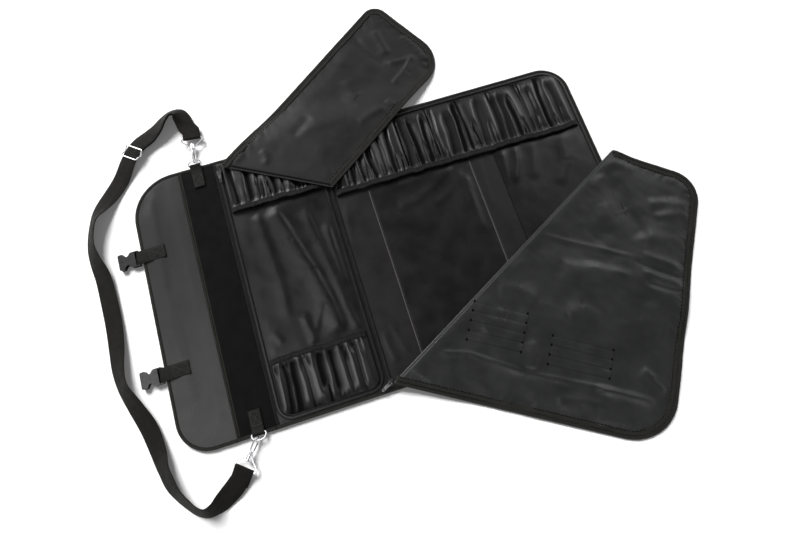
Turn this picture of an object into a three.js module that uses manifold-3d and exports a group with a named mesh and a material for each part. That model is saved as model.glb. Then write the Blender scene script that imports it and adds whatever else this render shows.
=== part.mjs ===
// Fold-out knife case of soft black fabric, lying open with its inner faces up.
// Millimetres, +Z up. The origin is the middle of the spine's underside, +Y runs
// along the spine and +X points from the spine to the wide panel.

import * as THREE from "three";
import { mergeVertices } from "three/addons/utils/BufferGeometryUtils.js";
import Module from "manifold-3d";

const wasm = await Module();
wasm.setup();

// Driving dimensions of the fabric body

const caseLength = 500;
const spineWidth = 66;
const flapWidth = 92;
const panelBWidth = 195;
const stripOneWidth = 68.6;
const panelCWidth = 196;
const stripTwoWidth = 45.7;
const panelDWidth = 192.3;
const shellThickness = 3.4;
const liningThickness = 1.6;
const bindingWidth = 6;
const bindingProud = 0.4;
const seamGap = 0.3;
const flapTopRadius = 80;
const flapBottomRadius = 56;
const panelRadius = 52;
const pipingWidth = 6.5;

// Driving dimensions of the pockets and zips

const pocketHollow = 4.8;
const pocketRoof = 0.8;
const gatherDepth = 1.4;
const gatherPitch = 13;
const pocketSideWall = 3;
const pocketSlope = 20;
const bandWidth = 8;
const bandThickness = 0.9;
const pocketBTopDepth = 110.6;
const pocketBBottomDepth = 111;
const pocketCDepth = 136.3;
const pocketBCorner = 19;
const zipBTapeWidth = 7.4;
const zipCTapeWidth = 6.6;
const zipBSliderInset = 27;
const zipCSliderInset = 15;
const zipEndInset = 20;
const zipCPullerTurn = -62;
const zipTapeThickness = 0.8;
const zipBeadWidth = 4;
const zipBeadHeight = 1.6;

// Driving dimensions of the two folded-back covers

const coverThickness = 1.8;
const coverBindingWidth = 7;
const layerGap = 0.3;
const drapeLength = 75;
const rollLength = 26;
const coverCell = 26;
const patchThickness = 0.7;
const coverCTurn = -31;

// Driving dimensions of the webbing and the metal

const strapWidth = 32;
const webbingThickness = 1.6;
const tabWebbing = 1.3;
const ringTabWidth = 20;
const ringTabLength = 42;
const ringTabX = 3;
const ringWire = 1.3;
const ringHalfWidth = 12;
const ringDepth = 11;
const wireGap = 0.3;
const hookWire = 1.6;
const crookRadius = 5.5;
const crookReach = 27;
const barrelRadius = 4.4;
const barrelHalf = 4.2;
const postRadius = 1.6;
const eyeHalfWidth = 19.2;
const eyeShoulder = 5.5;
const eyeDepth = 19;
const eyeWire = 1.4;
const gateWire = 1.1;
const buckleLength = 36.5;
const buckleWidth = 29;
const buckleWaist = 16;
const buckleThickness = 8;
const buckleWall = 1.5;
const buckleSpacing = 214;
const buckleTabWidth = 24;
const buckleTabLength = 43;

// Sizes that follow from the driving ones

const panelTop = shellThickness + liningThickness;
const bindingTop = panelTop + bindingProud;
const halfLength = caseLength / 2;
const halfSpine = spineWidth / 2;
const flapRight = -halfSpine - seamGap;
const flapLeft = -halfSpine - flapWidth;
const panelLeft = halfSpine + seamGap;
const lineBC = halfSpine + panelBWidth;
const lineOne = lineBC + stripOneWidth;
const lineTwo = lineOne + panelCWidth;
const lineThree = lineTwo + stripTwoWidth;
const panelRight = lineThree + panelDWidth;
const pocketTop = panelTop + pocketHollow + pocketRoof;
const pocketCrest = pocketTop + gatherDepth;
const pocketBTopMouth = halfLength - pocketBTopDepth;
const pocketBBottomMouth = pocketBBottomDepth - halfLength;
const pocketCMouth = halfLength - pocketCDepth;

// Materials

function fabric(color, roughness) {
  return new THREE.MeshStandardMaterial({ color, roughness, metalness: 0 });
}

function metal(color, roughness) {
  return new THREE.MeshStandardMaterial({ color, roughness, metalness: 1 });
}

const shellFabric = fabric(0x161617, 0.85);
const flapLeatherette = fabric(0x454444, 0.6);
const spineFabric = fabric(0x1b1b1b, 0.8);
const panelFabric = fabric(0x26262a, 0.45);
const stripFabric = fabric(0x202022, 0.7);
const gatheredNylon = fabric(0x1f2024, 0.35);
const elastic = fabric(0x1a1a1b, 0.8);
const coverFabric = fabric(0x323436, 0.5);
const bindingTape = fabric(0x232321, 0.75);
const webbing = fabric(0x201f1d, 0.8);
const zipTape = fabric(0x121213, 0.8);
const zipPlastic = fabric(0x19191b, 0.5);
const nickel = metal(0xc9cbcf, 0.25);
const darkSteel = metal(0x4a4b4f, 0.35);
const buckleResin = fabric(0x141415, 0.5);

// Building helpers

const model = new THREE.Group();

function addMesh(name, geometry, material, parent = model) {
  const mesh = new THREE.Mesh(geometry, material.clone());
  mesh.name = name;
  parent.add(mesh);
  return mesh;
}

function signedVolume(points, triangles) {
  let volume = 0;
  for (const [a, b, c] of triangles) {
    volume += points[a].dot(new THREE.Vector3().crossVectors(points[b], points[c])) / 6;
  }
  return volume;
}

// A closed surface from shared points; the faces are turned out if they face in
function closedGeometry(points, triangles) {
  const outward = signedVolume(points, triangles) > 0;
  const index = triangles.flatMap(([a, b, c]) => (outward ? [a, b, c] : [a, c, b]));
  const geometry = new THREE.BufferGeometry();
  geometry.setAttribute("position", new THREE.Float32BufferAttribute(points.flatMap((p) => p.toArray()), 3));
  geometry.setIndex(index);
  return geometry;
}

// Rings of equally many points joined into one skin, with flat ends or as a closed loop
function loft(rings, loop = false) {
  const count = rings[0].length;
  const points = rings.flat();
  const triangles = [];
  const last = loop ? rings.length : rings.length - 1;
  for (let i = 0; i < last; i++) {
    const next = ((i + 1) % rings.length) * count;
    for (let j = 0; j < count; j++) {
      const k = (j + 1) % count;
      triangles.push([i * count + j, i * count + k, next + j]);
      triangles.push([i * count + k, next + k, next + j]);
    }
  }
  if (!loop) {
    const end = (rings.length - 1) * count;
    for (let j = 1; j < count - 1; j++) {
      triangles.push([0, j + 1, j]);
      triangles.push([end, end + j, end + j + 1]);
    }
  }
  return closedGeometry(points, triangles);
}

function toSolid(geometry) {
  const bare = geometry.clone();
  bare.deleteAttribute("normal");
  bare.deleteAttribute("uv");
  const merged = mergeVertices(bare, 1e-4);
  const vertProperties = new Float32Array(merged.getAttribute("position").array);
  const triVerts = new Uint32Array(merged.getIndex().array);
  return new wasm.Manifold(new wasm.Mesh({ numProp: 3, vertProperties, triVerts }));
}

function toGeometry(solid) {
  const result = solid.getMesh();
  const geometry = new THREE.BufferGeometry();
  geometry.setAttribute("position", new THREE.Float32BufferAttribute(result.vertProperties, 3));
  geometry.setIndex([...result.triVerts]);
  return geometry;
}

function unite(...geometries) {
  return toGeometry(geometries.map(toSolid).reduce((sum, next) => sum.add(next)));
}

function cut(geometry, ...tools) {
  return toGeometry(tools.map(toSolid).reduce((rest, tool) => rest.subtract(tool), toSolid(geometry)));
}

function common(geometry, tool) {
  return toGeometry(toSolid(geometry).intersect(toSolid(tool)));
}

function boxBetween(x0, x1, y0, y1, z0, z1) {
  const box = new THREE.BoxGeometry(x1 - x0, y1 - y0, z1 - z0);
  box.translate((x0 + x1) / 2, (y0 + y1) / 2, (z0 + z1) / 2);
  return box;
}

// Polygon corners given as [x, y, radius], with each radius drawn as an arc
function filleted(corners, steps = 8) {
  const outline = [];
  corners.forEach(([x, y, radius = 0], i) => {
    if (radius === 0) {
      outline.push(new THREE.Vector2(x, y));
      return;
    }
    const corner = new THREE.Vector2(x, y);
    const before = corners[(i + corners.length - 1) % corners.length];
    const after = corners[(i + 1) % corners.length];
    const toBefore = new THREE.Vector2(before[0] - x, before[1] - y).normalize();
    const toAfter = new THREE.Vector2(after[0] - x, after[1] - y).normalize();
    const half = Math.acos(THREE.MathUtils.clamp(toBefore.dot(toAfter), -1, 1)) / 2;
    const tangent = radius / Math.tan(half);
    const inward = toBefore.clone().add(toAfter).normalize();
    const centre = corner.clone().addScaledVector(inward, radius / Math.sin(half));
    const start = corner.clone().addScaledVector(toBefore, tangent).sub(centre);
    const end = corner.clone().addScaledVector(toAfter, tangent).sub(centre);
    const turn = Math.atan2(start.cross(end), start.dot(end));
    for (let s = 0; s <= steps; s++) {
      outline.push(start.clone().rotateAround(new THREE.Vector2(), (turn * s) / steps).add(centre));
    }
  });
  return outline;
}

function plate(outline, z0, z1, holes = []) {
  const shape = new THREE.Shape(outline);
  holes.forEach((hole) => shape.holes.push(new THREE.Path(hole)));
  const geometry = new THREE.ExtrudeGeometry(shape, { depth: z1 - z0, bevelEnabled: false, curveSegments: 8 });
  geometry.translate(0, 0, z0);
  return geometry;
}

function rectangle(x0, x1, y0, y1) {
  return [[x0, y0], [x1, y0], [x1, y1], [x0, y1]].map(([x, y]) => new THREE.Vector2(x, y));
}

// An open line moved sideways by a distance, to its left where the distance is positive
function sideways(line, distance) {
  return line.map((point, i) => {
    const before = line[Math.max(i - 1, 0)];
    const after = line[Math.min(i + 1, line.length - 1)];
    const into = point.clone().sub(before);
    const out = after.clone().sub(point);
    if (i === 0) into.copy(out);
    if (i === line.length - 1) out.copy(into);
    const normalIn = new THREE.Vector2(-into.y, into.x).normalize();
    const normalOut = new THREE.Vector2(-out.y, out.x).normalize();
    const mitre = normalIn.clone().add(normalOut);
    return point.clone().addScaledVector(mitre, distance / (1 + normalIn.dot(normalOut)));
  });
}

// A bar that follows an open line on the plan, with a section given as [side, height] pairs
function follow(line, section) {
  const rows = section.map(([side]) => sideways(line, side));
  const corner = (row, height) => new THREE.Vector3(row.x, row.y, height);
  const rings = line.map((_, i) => section.map(([, height], j) => corner(rows[j][i], height)));
  return loft(rings);
}

// A round wire through points that lie mostly level; the radius may change along it
function wire(points, radius, sides = 8, loop = false) {
  const radiusAt = typeof radius === "function" ? radius : () => radius;
  const up = new THREE.Vector3(0, 0, 1);
  const rings = points.map((point, i) => {
    const before = points[loop ? (i + points.length - 1) % points.length : Math.max(i - 1, 0)];
    const after = points[loop ? (i + 1) % points.length : Math.min(i + 1, points.length - 1)];
    const along = after.clone().sub(before).normalize();
    const side = new THREE.Vector3().crossVectors(up, along).normalize();
    const lift = new THREE.Vector3().crossVectors(along, side);
    const reach = radiusAt(i / (points.length - 1));
    return Array.from({ length: sides }, (_, k) => {
      const angle = ((k + 0.5) / sides) * 2 * Math.PI;
      return point.clone()
        .addScaledVector(side, reach * Math.cos(angle)).addScaledVector(lift, reach * Math.sin(angle));
    });
  });
  return loft(rings, loop);
}

function flatWire(line, radius, sides = 8, loop = false) {
  return wire(line.map((point) => new THREE.Vector3(point.x, point.y, 0)), radius, sides, loop);
}

function arc(cx, cy, radius, fromDegrees, toDegrees, steps) {
  return Array.from({ length: steps + 1 }, (_, i) => {
    const angle = THREE.MathUtils.degToRad(fromDegrees + ((toDegrees - fromDegrees) * i) / steps);
    return new THREE.Vector2(cx + radius * Math.cos(angle), cy + radius * Math.sin(angle));
  });
}

// A round rod between two points
function rod(from, to, radius, sides = 10) {
  const length = from.distanceTo(to);
  const cylinder = new THREE.CylinderGeometry(radius, radius, length, sides);
  const direction = to.clone().sub(from).normalize();
  cylinder.applyQuaternion(new THREE.Quaternion().setFromUnitVectors(new THREE.Vector3(0, 1, 0), direction));
  const middle = from.clone().lerp(to, 0.5);
  cylinder.translate(middle.x, middle.y, middle.z);
  return cylinder;
}

// The spine, the flap and the wide panel

const innerSpine = halfLength - bindingWidth;

function boundBar(side, height) {
  return [
    [0, bindingProud], [side * 0.85, bindingProud], [side, bindingProud + 0.9],
    [side, height - 0.9], [side * 0.85, height], [0, height],
  ];
}

function addSpine() {
  const outline = rectangle(-halfSpine, halfSpine, -innerSpine, innerSpine);
  addMesh("spine_shell", plate(outline, 0, shellThickness), shellFabric);
  const face = rectangle(-halfSpine + pipingWidth, halfSpine, -innerSpine, innerSpine);
  addMesh("spine_lining", plate(face, shellThickness, panelTop), spineFabric);
  const ends = [["spine_binding_top", 1], ["spine_binding_bottom", -1]];
  ends.forEach(([name, side]) => {
    const corner = new THREE.Vector2(side * halfSpine, side * innerSpine);
    const line = [new THREE.Vector2(-corner.x, corner.y), corner];
    addMesh(name, follow(line, boundBar(bindingWidth, bindingTop)), bindingTape);
  });
}

// Two rolled cords side by side under one strip of fabric
function addSpinePiping() {
  const cord = pipingWidth / 4;
  const profile = new THREE.Shape();
  profile.moveTo(0, 0);
  profile.lineTo(pipingWidth, 0);
  profile.absarc(pipingWidth - cord, liningThickness - cord + bindingProud, cord, 0, Math.PI, false);
  profile.absarc(cord, liningThickness - cord + bindingProud, cord, 0, Math.PI, false);
  const piping = new THREE.ExtrudeGeometry(profile, { depth: 2 * innerSpine, bevelEnabled: false, curveSegments: 5 });
  piping.rotateX(Math.PI / 2);
  piping.translate(-halfSpine, innerSpine, shellThickness);
  addMesh("spine_piping", piping, bindingTape);
}

function flapEdge(inset) {
  const left = flapLeft + inset;
  const top = halfLength - inset;
  const corners = [
    [flapRight, -top], [flapRight, top],
    [left, top, flapTopRadius - inset], [left, -top, flapBottomRadius - inset],
  ];
  return filleted(corners, 10);
}

function addFlap() {
  const outline = flapEdge(bindingWidth);
  addMesh("flap_shell", plate(outline, 0, shellThickness), shellFabric);
  addMesh("flap_lining", plate(outline, shellThickness, panelTop), flapLeatherette);
  const line = outline.slice(1).concat([outline[0]]);
  addMesh("flap_binding", follow(line, boundBar(-bindingWidth, bindingTop)), bindingTape);
}

function panelEdge(inset) {
  const right = panelRight - inset;
  const top = halfLength - inset;
  const corners = [
    [panelLeft, top], [panelLeft, -top],
    [right, -top, panelRadius - inset], [right, top, panelRadius - inset],
  ];
  return filleted(corners, 10);
}

// One field of the panel's inner face, cut from the whole face between two seams
function panelField(x0, x1, z1) {
  const whole = plate(panelEdge(bindingWidth), shellThickness, z1);
  return common(whole, boxBetween(x0, x1, -halfLength, halfLength, 0, z1 + 1));
}

function addPanel() {
  const outline = panelEdge(bindingWidth);
  addMesh("panel_shell", plate(outline, 0, shellThickness), shellFabric);
  const seam = 0.6;
  addMesh("panel_b_lining", panelField(panelLeft, lineBC - seam, panelTop), panelFabric);
  addMesh("strip_one", panelField(lineBC, lineOne, panelTop), stripFabric);
  addMesh("panel_c_lining", panelField(lineOne + seam, lineTwo - seam, panelTop), panelFabric);
  addMesh("strip_two", panelField(lineTwo, lineThree, panelTop), stripFabric);
  addMesh("panel_d_lining", panelField(lineThree + seam, panelRight, panelTop), panelFabric);
  const line = outline.slice(1).concat([outline[0]]);
  addMesh("panel_binding", follow(line, boundBar(-bindingWidth, bindingTop)), bindingTape);
}

// Zips: a woven tape with a round bead of closed teeth along its middle

const zipBX0 = panelLeft + 9;
const zipBX1 = lineBC - 6;
const zipBY = -halfLength + 10;
const zipCX = lineBC + 4;
const zipCTop = innerSpine - 3.5;
const zipCRight = panelRight - bindingWidth - 3.5;
const zipStart = halfLength - zipEndInset;

function zipSection(halfWidth, z0, z1, rise) {
  return [
    [-halfWidth, z0], [halfWidth, z0], [halfWidth, z0 + rise],
    [halfWidth * 0.5, z1], [-halfWidth * 0.5, z1], [-halfWidth, z0 + rise],
  ];
}

function addZip(letter, line, tapeWidth) {
  const tapeTop = panelTop + zipTapeThickness;
  const half = tapeWidth / 2;
  const tape = [[-half, panelTop], [half, panelTop], [half, tapeTop], [-half, tapeTop]];
  addMesh(`zip_${letter}_tape`, follow(line, tape), zipTape);
  const bead = zipSection(zipBeadWidth / 2, tapeTop, tapeTop + zipBeadHeight, zipBeadHeight * 0.6);
  addMesh(`zip_${letter}_bead`, follow(line, bead), zipPlastic);
}

function addZips() {
  const turn = pocketBCorner + 5;
  const pathB = filleted([[zipBX0, zipStart], [zipBX0, zipBY, turn], [zipBX1, zipBY, turn], [zipBX1, zipStart]], 6);
  addZip("b", pathB, zipBTapeWidth);
  const corner = [zipCRight, zipCTop, panelRadius - bindingWidth - 3.5];
  const pathC = filleted([[zipCX, -zipStart - 4], [zipCX, zipCTop], corner, [zipCRight, -zipStart + 40]], 8);
  addZip("c", pathC, zipCTapeWidth);
}

// Gathered pockets: one sheet over a hollow, sewn down at its sides and its outer
// edge and open along the elastic band at its mouth

function pocketHeight(x, y, x0, x1, mouthY, outerY) {
  const side = Math.min(x - x0, x1 - x);
  const fromMouth = Math.abs(y - mouthY) / Math.abs(outerY - mouthY);
  const slope = THREE.MathUtils.clamp(side / pocketSlope, 0, 1);
  const slopeOut = THREE.MathUtils.clamp((1 - fromMouth) / 0.2, 0, 1);
  const rise = Math.min(Math.sqrt(slope), Math.sqrt(slopeOut));
  const wave = 0.5 - 0.5 * Math.cos((2 * Math.PI * (x - x0)) / gatherPitch + 1.5 * Math.sin(x * 0.05));
  const gather = gatherDepth * wave * THREE.MathUtils.smoothstep(fromMouth, 0.12, 0.35);
  return 1 + rise * (pocketTop - panelTop - 1) + gather * rise;
}

function stationsAcross(x0, x1) {
  return Math.round((x1 - x0) / (gatherPitch / 3));
}

function pocketGrid(x0, x1, mouthY, outerY) {
  const across = stationsAcross(x0, x1);
  const stops = [0, 0.12, 0.35, 0.8, 0.91, 1];
  const points = [];
  const triangles = [];
  const rows = stops.length;
  [0, 1].forEach((layer) => {
    for (let i = 0; i <= across; i++) {
      const x = x0 + ((x1 - x0) * i) / across;
      stops.forEach((stop) => {
        const y = mouthY + (outerY - mouthY) * stop;
        const z = layer === 0 ? 0 : pocketHeight(x, y, x0, x1, mouthY, outerY);
        points.push(new THREE.Vector3(x, y, panelTop + z));
      });
    }
  });
  const top = (across + 1) * rows;
  const at = (i, j) => i * rows + j;
  for (let i = 0; i < across; i++) {
    for (let j = 0; j < rows - 1; j++) {
      triangles.push([at(i, j), at(i, j + 1), at(i + 1, j)], [at(i + 1, j), at(i, j + 1), at(i + 1, j + 1)]);
      triangles.push([top + at(i, j), top + at(i + 1, j), top + at(i, j + 1)]);
      triangles.push([top + at(i + 1, j), top + at(i + 1, j + 1), top + at(i, j + 1)]);
    }
  }
  const rim = [];
  for (let i = 0; i < across; i++) rim.push(at(i, 0));
  for (let j = 0; j < rows - 1; j++) rim.push(at(across, j));
  for (let i = across; i > 0; i--) rim.push(at(i, rows - 1));
  for (let j = rows - 1; j > 0; j--) rim.push(at(0, j));
  rim.forEach((a, k) => {
    const b = rim[(k + 1) % rim.length];
    triangles.push([a, b, top + a], [b, top + b, top + a]);
  });
  return closedGeometry(points, triangles);
}

function pocket(x0, x1, mouthY, outerY, divisions) {
  const inward = Math.sign(outerY - mouthY);
  const usable = x1 - x0 - 2 * pocketSlope;
  const each = usable / divisions;
  const hollows = [];
  for (let i = 0; i < divisions; i++) {
    const left = x0 + pocketSlope + i * each + (i === 0 ? 0 : pocketSideWall / 2);
    const right = x0 + pocketSlope + (i + 1) * each - (i === divisions - 1 ? 0 : pocketSideWall / 2);
    const near = mouthY - inward * 2;
    const far = mouthY + (outerY - mouthY) * 0.78;
    const [low, high] = near < far ? [near, far] : [far, near];
    hollows.push(boxBetween(left, right, low, high, panelTop - 1, panelTop + pocketHollow));
  }
  return cut(pocketGrid(x0, x1, mouthY, outerY), ...hollows);
}

function band(x0, x1, mouthY, outerY) {
  const inward = Math.sign(outerY - mouthY);
  const count = stationsAcross(x0, x1);
  const stations = Array.from({ length: count + 1 }, (_, i) => x0 + ((x1 - x0) * i) / count);
  const reach = pocketSlope + gatherPitch;
  const sloping = stations.filter((x) => Math.min(x - x0, x1 - x) < reach);
  const rings = sloping.map((x) => {
    const base = panelTop + pocketHeight(x, mouthY, x0, x1, mouthY, outerY) + 0.05;
    const y0 = mouthY;
    const y1 = mouthY + inward * bandWidth;
    return [[y0, base], [y1, base], [y1, base + bandThickness], [y0, base + bandThickness]]
      .map(([y, z]) => new THREE.Vector3(x, y, z));
  });
  return loft(rings);
}

const pocketBX0 = zipBX0 + 5;
const pocketBX1 = zipBX1 - 5;
const pocketBY = zipBY + 5;
const pocketCX0 = zipCX + 5;
const pocketCX1 = zipCRight - 5;
const pocketCY = zipCTop - 5;

function addPockets() {
  addMesh("pocket_b_top", pocket(pocketBX0, pocketBX1, pocketBTopMouth, innerSpine - 1, 2), gatheredNylon);
  const lower = [[pocketBX0, pocketBBottomMouth + 1], [pocketBX0, pocketBY, pocketBCorner]];
  const lowerRight = [[pocketBX1, pocketBY, pocketBCorner], [pocketBX1, pocketBBottomMouth + 1]];
  const lowerB = plate(filleted([...lower, ...lowerRight], 6), 0, pocketCrest + 5);
  const wholeB = pocket(pocketBX0, pocketBX1, pocketBBottomMouth, pocketBY, 2);
  addMesh("pocket_b_bottom", common(wholeB, lowerB), gatheredNylon);
  const rounded = plate(panelEdge(panelRight - pocketCX1), 0, pocketCrest + 5);
  const wholeC = pocket(pocketCX0, pocketCX1, pocketCMouth, pocketCY, 7);
  addMesh("pocket_c", common(wholeC, rounded), gatheredNylon);
  addMesh("band_b_top", band(pocketBX0, pocketBX1, pocketBTopMouth, innerSpine - 1), elastic);
  addMesh("band_b_bottom", band(pocketBX0, pocketBX1, pocketBBottomMouth, pocketBY), elastic);
  addMesh("band_c", band(pocketCX0, pocketCX1, pocketCMouth, pocketCY), elastic);
}

// Folded-back covers: each is zipped shut below its diagonal fold, and the rest is
// turned over the fold and lies on the panel and, past the panel's edge, on the floor

const foldBHeight = pocketCrest + 2.5;
const foldCHeight = panelTop + 8.6;
const lyingOnPockets = pocketCrest + 0.5;
const coverRestC = panelTop + coverThickness + 3 * layerGap;
const floorLift = 0.5;

const coverBCorners = [[47, 232, 4], [424.6, 501.6, 28], [526, 330, 66], [235, 128, 4]];
const coverCCorners = [[233, -237, 3], [755, 46, 14], [890.5, -58, 55], [637, -476.5, 80]];

function distancePastPanel(x, y) {
  const dx = Math.max(x - panelRight, 0);
  const dy = Math.max(Math.abs(y) - halfLength, 0);
  return Math.hypot(dx, dy);
}

function drape(level, x, y) {
  const fall = THREE.MathUtils.smoothstep(distancePastPanel(x, y), 0, drapeLength);
  return level + (floorLift - level) * fall;
}

// How far a point lies from the fold line through two corners, on the cover's side
function foldDistance(corners, x, y) {
  const [[x0, y0]] = corners;
  const [x1, y1] = corners === coverBCorners ? corners[3] : corners[1];
  const side = corners === coverBCorners ? 1 : -1;
  return (side * ((x1 - x0) * (y - y0) - (y1 - y0) * (x - x0))) / Math.hypot(x1 - x0, y1 - y0);
}

function coverBUnderside(x, y) {
  const stepDown = THREE.MathUtils.smoothstep(x, lineBC + 5, lineBC + 60);
  const level = foldBHeight + layerGap + (lyingOnPockets - foldBHeight - layerGap) * stepDown;
  return drape(level, x, y);
}

function rollNearFold(x, y) {
  const distance = Math.max(foldDistance(coverCCorners, x, y), 0);
  return Math.exp(-((distance / rollLength) ** 2));
}

function coverCUnderside(x, y) {
  const level = coverRestC + (foldCHeight + layerGap - coverRestC) * rollNearFold(x, y);
  return drape(level, x, y);
}

// A sheet of cloth over an outline, whose underside follows a height function
function clothSheet(outline, underside, thickness, cell) {
  const box = new THREE.Box2().setFromPoints(outline).expandByScalar(1);
  const firstX = Math.floor(box.min.x / cell);
  const firstY = Math.floor(box.min.y / cell);
  const nx = Math.ceil(box.max.x / cell) - firstX;
  const ny = Math.ceil(box.max.y / cell) - firstY;
  const rings = Array.from({ length: nx + 1 }, (_, i) => {
    const x = (firstX + i) * cell;
    const rows = Array.from({ length: ny + 1 }, (_, j) => (firstY + j) * cell);
    const lower = rows.map((y) => new THREE.Vector3(x, y, underside(x, y)));
    const upper = rows.map((y) => new THREE.Vector3(x, y, underside(x, y) + thickness)).reverse();
    return [...lower, ...upper];
  });
  return common(loftCapped(rings, ny), plate(outline, -5, 60));
}

// A loft whose end sections are strips, capped quad by quad
function loftCapped(rings, ny) {
  const count = rings[0].length;
  const points = rings.flat();
  const triangles = [];
  for (let i = 0; i < rings.length - 1; i++) {
    for (let j = 0; j < count; j++) {
      const k = (j + 1) % count;
      const here = i * count;
      const next = (i + 1) * count;
      if (j > ny) triangles.push([here + j, here + k, next + k], [here + j, next + k, next + j]);
      else triangles.push([here + j, here + k, next + j], [here + k, next + k, next + j]);
    }
  }
  [0, rings.length - 1].forEach((ring, atEnd) => {
    const start = ring * count;
    for (let j = 0; j < ny; j++) {
      const quad = [start + j, start + j + 1, start + count - 2 - j, start + count - 1 - j];
      const faces = [[quad[0], quad[2], quad[1]], [quad[0], quad[3], quad[2]]];
      faces.forEach(([a, b, c]) => triangles.push(atEnd ? [a, c, b] : [a, b, c]));
    }
  });
  return closedGeometry(points, triangles);
}

function turnedRectangle(x, y, length, width, degrees) {
  const turn = THREE.MathUtils.degToRad(degrees);
  const centre = new THREE.Vector2(x, y);
  return rectangle(x - length / 2, x + length / 2, y - width / 2, y + width / 2)
    .map((corner) => corner.rotateAround(centre, turn));
}

function turnsLeft(outline) {
  return THREE.ShapeUtils.area(outline) > 0;
}

// The tape round the cover's three free edges; it starts and ends at the fold
function freeEdge(outline, from, to) {
  const line = [];
  for (let i = from; i <= to; i++) {
    const a = outline[i % outline.length];
    const b = outline[(i + 1) % outline.length];
    line.push(a);
    const pieces = i < to ? Math.floor(a.distanceTo(b) / 30) : 0;
    for (let k = 1; k <= pieces; k++) line.push(a.clone().lerp(b, k / (pieces + 1)));
  }
  return line;
}

function coverBinding(outline, line, underside) {
  const inward = turnsLeft(outline) ? 1 : -1;
  const width = coverBindingWidth;
  const proud = bindingProud;
  const sides = [0, 0.15 * width, width - layerGap, width - layerGap, 0.15 * width, 0];
  const crest = coverThickness + proud;
  const lifts = [0.5, -proud, -proud, crest, crest, coverThickness - 0.5];
  const rows = sides.map((side) => sideways(line, inward * side));
  const rings = line.map((point, i) => rows.map((row, j) => {
    const x = row[i].x;
    const y = row[i].y;
    return new THREE.Vector3(x, y, underside(point.x, point.y) + lifts[j]);
  }));
  return loft(rings);
}

// The cover's cloth inside its binding
function boundCloth(outline, line, underside, cell) {
  const inward = turnsLeft(outline) ? 1 : -1;
  const inner = inward * coverBindingWidth;
  const footprint = [[-inward, -5], [inner, -5], [inner, 60], [-inward, 60]];
  return cut(clothSheet(outline, underside, coverThickness, cell), follow(line, footprint));
}

function addCoverB() {
  const fold = new THREE.Group();
  model.add(fold);
  const outline = filleted(coverBCorners, 8);
  const line = freeEdge(outline, 8, 27);
  addMesh("cover_b_flap", boundCloth(outline, line, coverBUnderside, coverCell), coverFabric, fold);
  const above = (x, y) => coverBUnderside(x, y) + coverThickness + 0.05;
  const patch = turnedRectangle(324, 305, 16, 20, 36);
  addMesh("cover_b_patch", clothSheet(patch, above, patchThickness, coverCell), coverFabric, fold);
  addMesh("cover_b_binding", coverBinding(outline, line, coverBUnderside), bindingTape, fold);
  const gap = layerGap + coverThickness;
  const fixed = filleted([[62, 228], [lineBC - 3, 137, 2], [lineBC - 3, zipStart + 8, 4]], 3);
  const under = foldBHeight - gap;
  addMesh("cover_b_fixed", plate(fixed, under, under + coverThickness), coverFabric);
}

function addCoverC() {
  const fold = new THREE.Group();
  model.add(fold);
  const outline = filleted(coverCCorners, 10);
  const line = freeEdge(outline, 14, 44);
  addMesh("cover_c_flap", boundCloth(outline, line, coverCUnderside, coverCell), coverFabric, fold);
  const above = (x, y) => coverCUnderside(x, y) + coverThickness + 0.05;
  const sleeves = [["sleeves_long", 433, -201, 96, 68], ["sleeves_short", 550, -292, 108, 50]];
  sleeves.forEach(([name, x, y, length, width]) => {
    const outlineHere = turnedRectangle(x, y, length, width, coverCTurn);
    addMesh(name, clothSheet(outlineHere, above, patchThickness, coverCell), coverFabric, fold);
  });
  addMesh("cover_c_binding", coverBinding(outline, line, coverCUnderside), bindingTape, fold);
  const right = zipCRight - 4;
  const fixed = filleted([[250, -232], [right, -232, 20], [right, 20, 3]], 4);
  const under = (x, y) => coverCUnderside(x, y) - (coverRestC - panelTop - layerGap);
  addMesh("cover_c_fixed", clothSheet(fixed, under, coverThickness, coverCell), coverFabric);
}

// Case rings: a sewn webbing tab at each end of the spine, folded round a flat D ring

const tabTop = panelTop + 2 * tabWebbing;
const ringTopReach = 1.5;
const ringBottomInset = 4.5;
const ringLoopRadius = ringWire + wireGap + tabWebbing;
const ringHeight = bindingTop + 0.15 + ringLoopRadius;
const ringEnds = [
  { name: "top", turn: 0, bar: halfLength + ringTopReach },
  { name: "bottom", turn: 180, bar: halfLength - ringBottomInset },
];

function extruded(shape, depth) {
  return new THREE.ExtrudeGeometry(shape, { depth, bevelEnabled: false, curveSegments: 7 });
}

function ringTab(bar) {
  const shape = new THREE.Shape();
  const start = halfLength - ringTabLength;
  shape.moveTo(start, panelTop);
  shape.lineTo(innerSpine - 0.8, panelTop);
  shape.lineTo(innerSpine - 0.2, bindingTop + 0.1);
  shape.absarc(bar, ringHeight, ringLoopRadius, -Math.PI / 2, Math.PI / 2, false);
  shape.lineTo(bar - ringLoopRadius - 4, tabTop + 0.6);
  shape.lineTo(bar - ringLoopRadius - 8, tabTop);
  shape.lineTo(start, tabTop);
  const hole = new THREE.Path();
  hole.absarc(bar, ringHeight, ringWire + wireGap, 0, 2 * Math.PI, true);
  shape.holes.push(hole);
  const tab = extruded(shape, ringTabWidth);
  tab.rotateX(Math.PI / 2);
  tab.rotateZ(Math.PI / 2);
  tab.translate(-ringTabWidth / 2, 0, 0);
  return tab;
}

function dRing() {
  const corner = 2.5;
  const straight = ringHalfWidth - corner;
  const bow = Array.from({ length: 15 }, (_, i) => {
    const angle = (Math.PI * i) / 14;
    const depth = corner + (ringDepth - corner) * Math.sin(angle);
    return new THREE.Vector2(ringHalfWidth * Math.cos(angle), depth);
  });
  const line = [
    ...arc(-straight, corner, corner, 180, 270, 3).slice(1),
    ...arc(straight, corner, corner, 270, 360, 3).slice(0, -1),
    ...bow,
  ];
  return flatWire(line, ringWire, 8, true);
}

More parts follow.
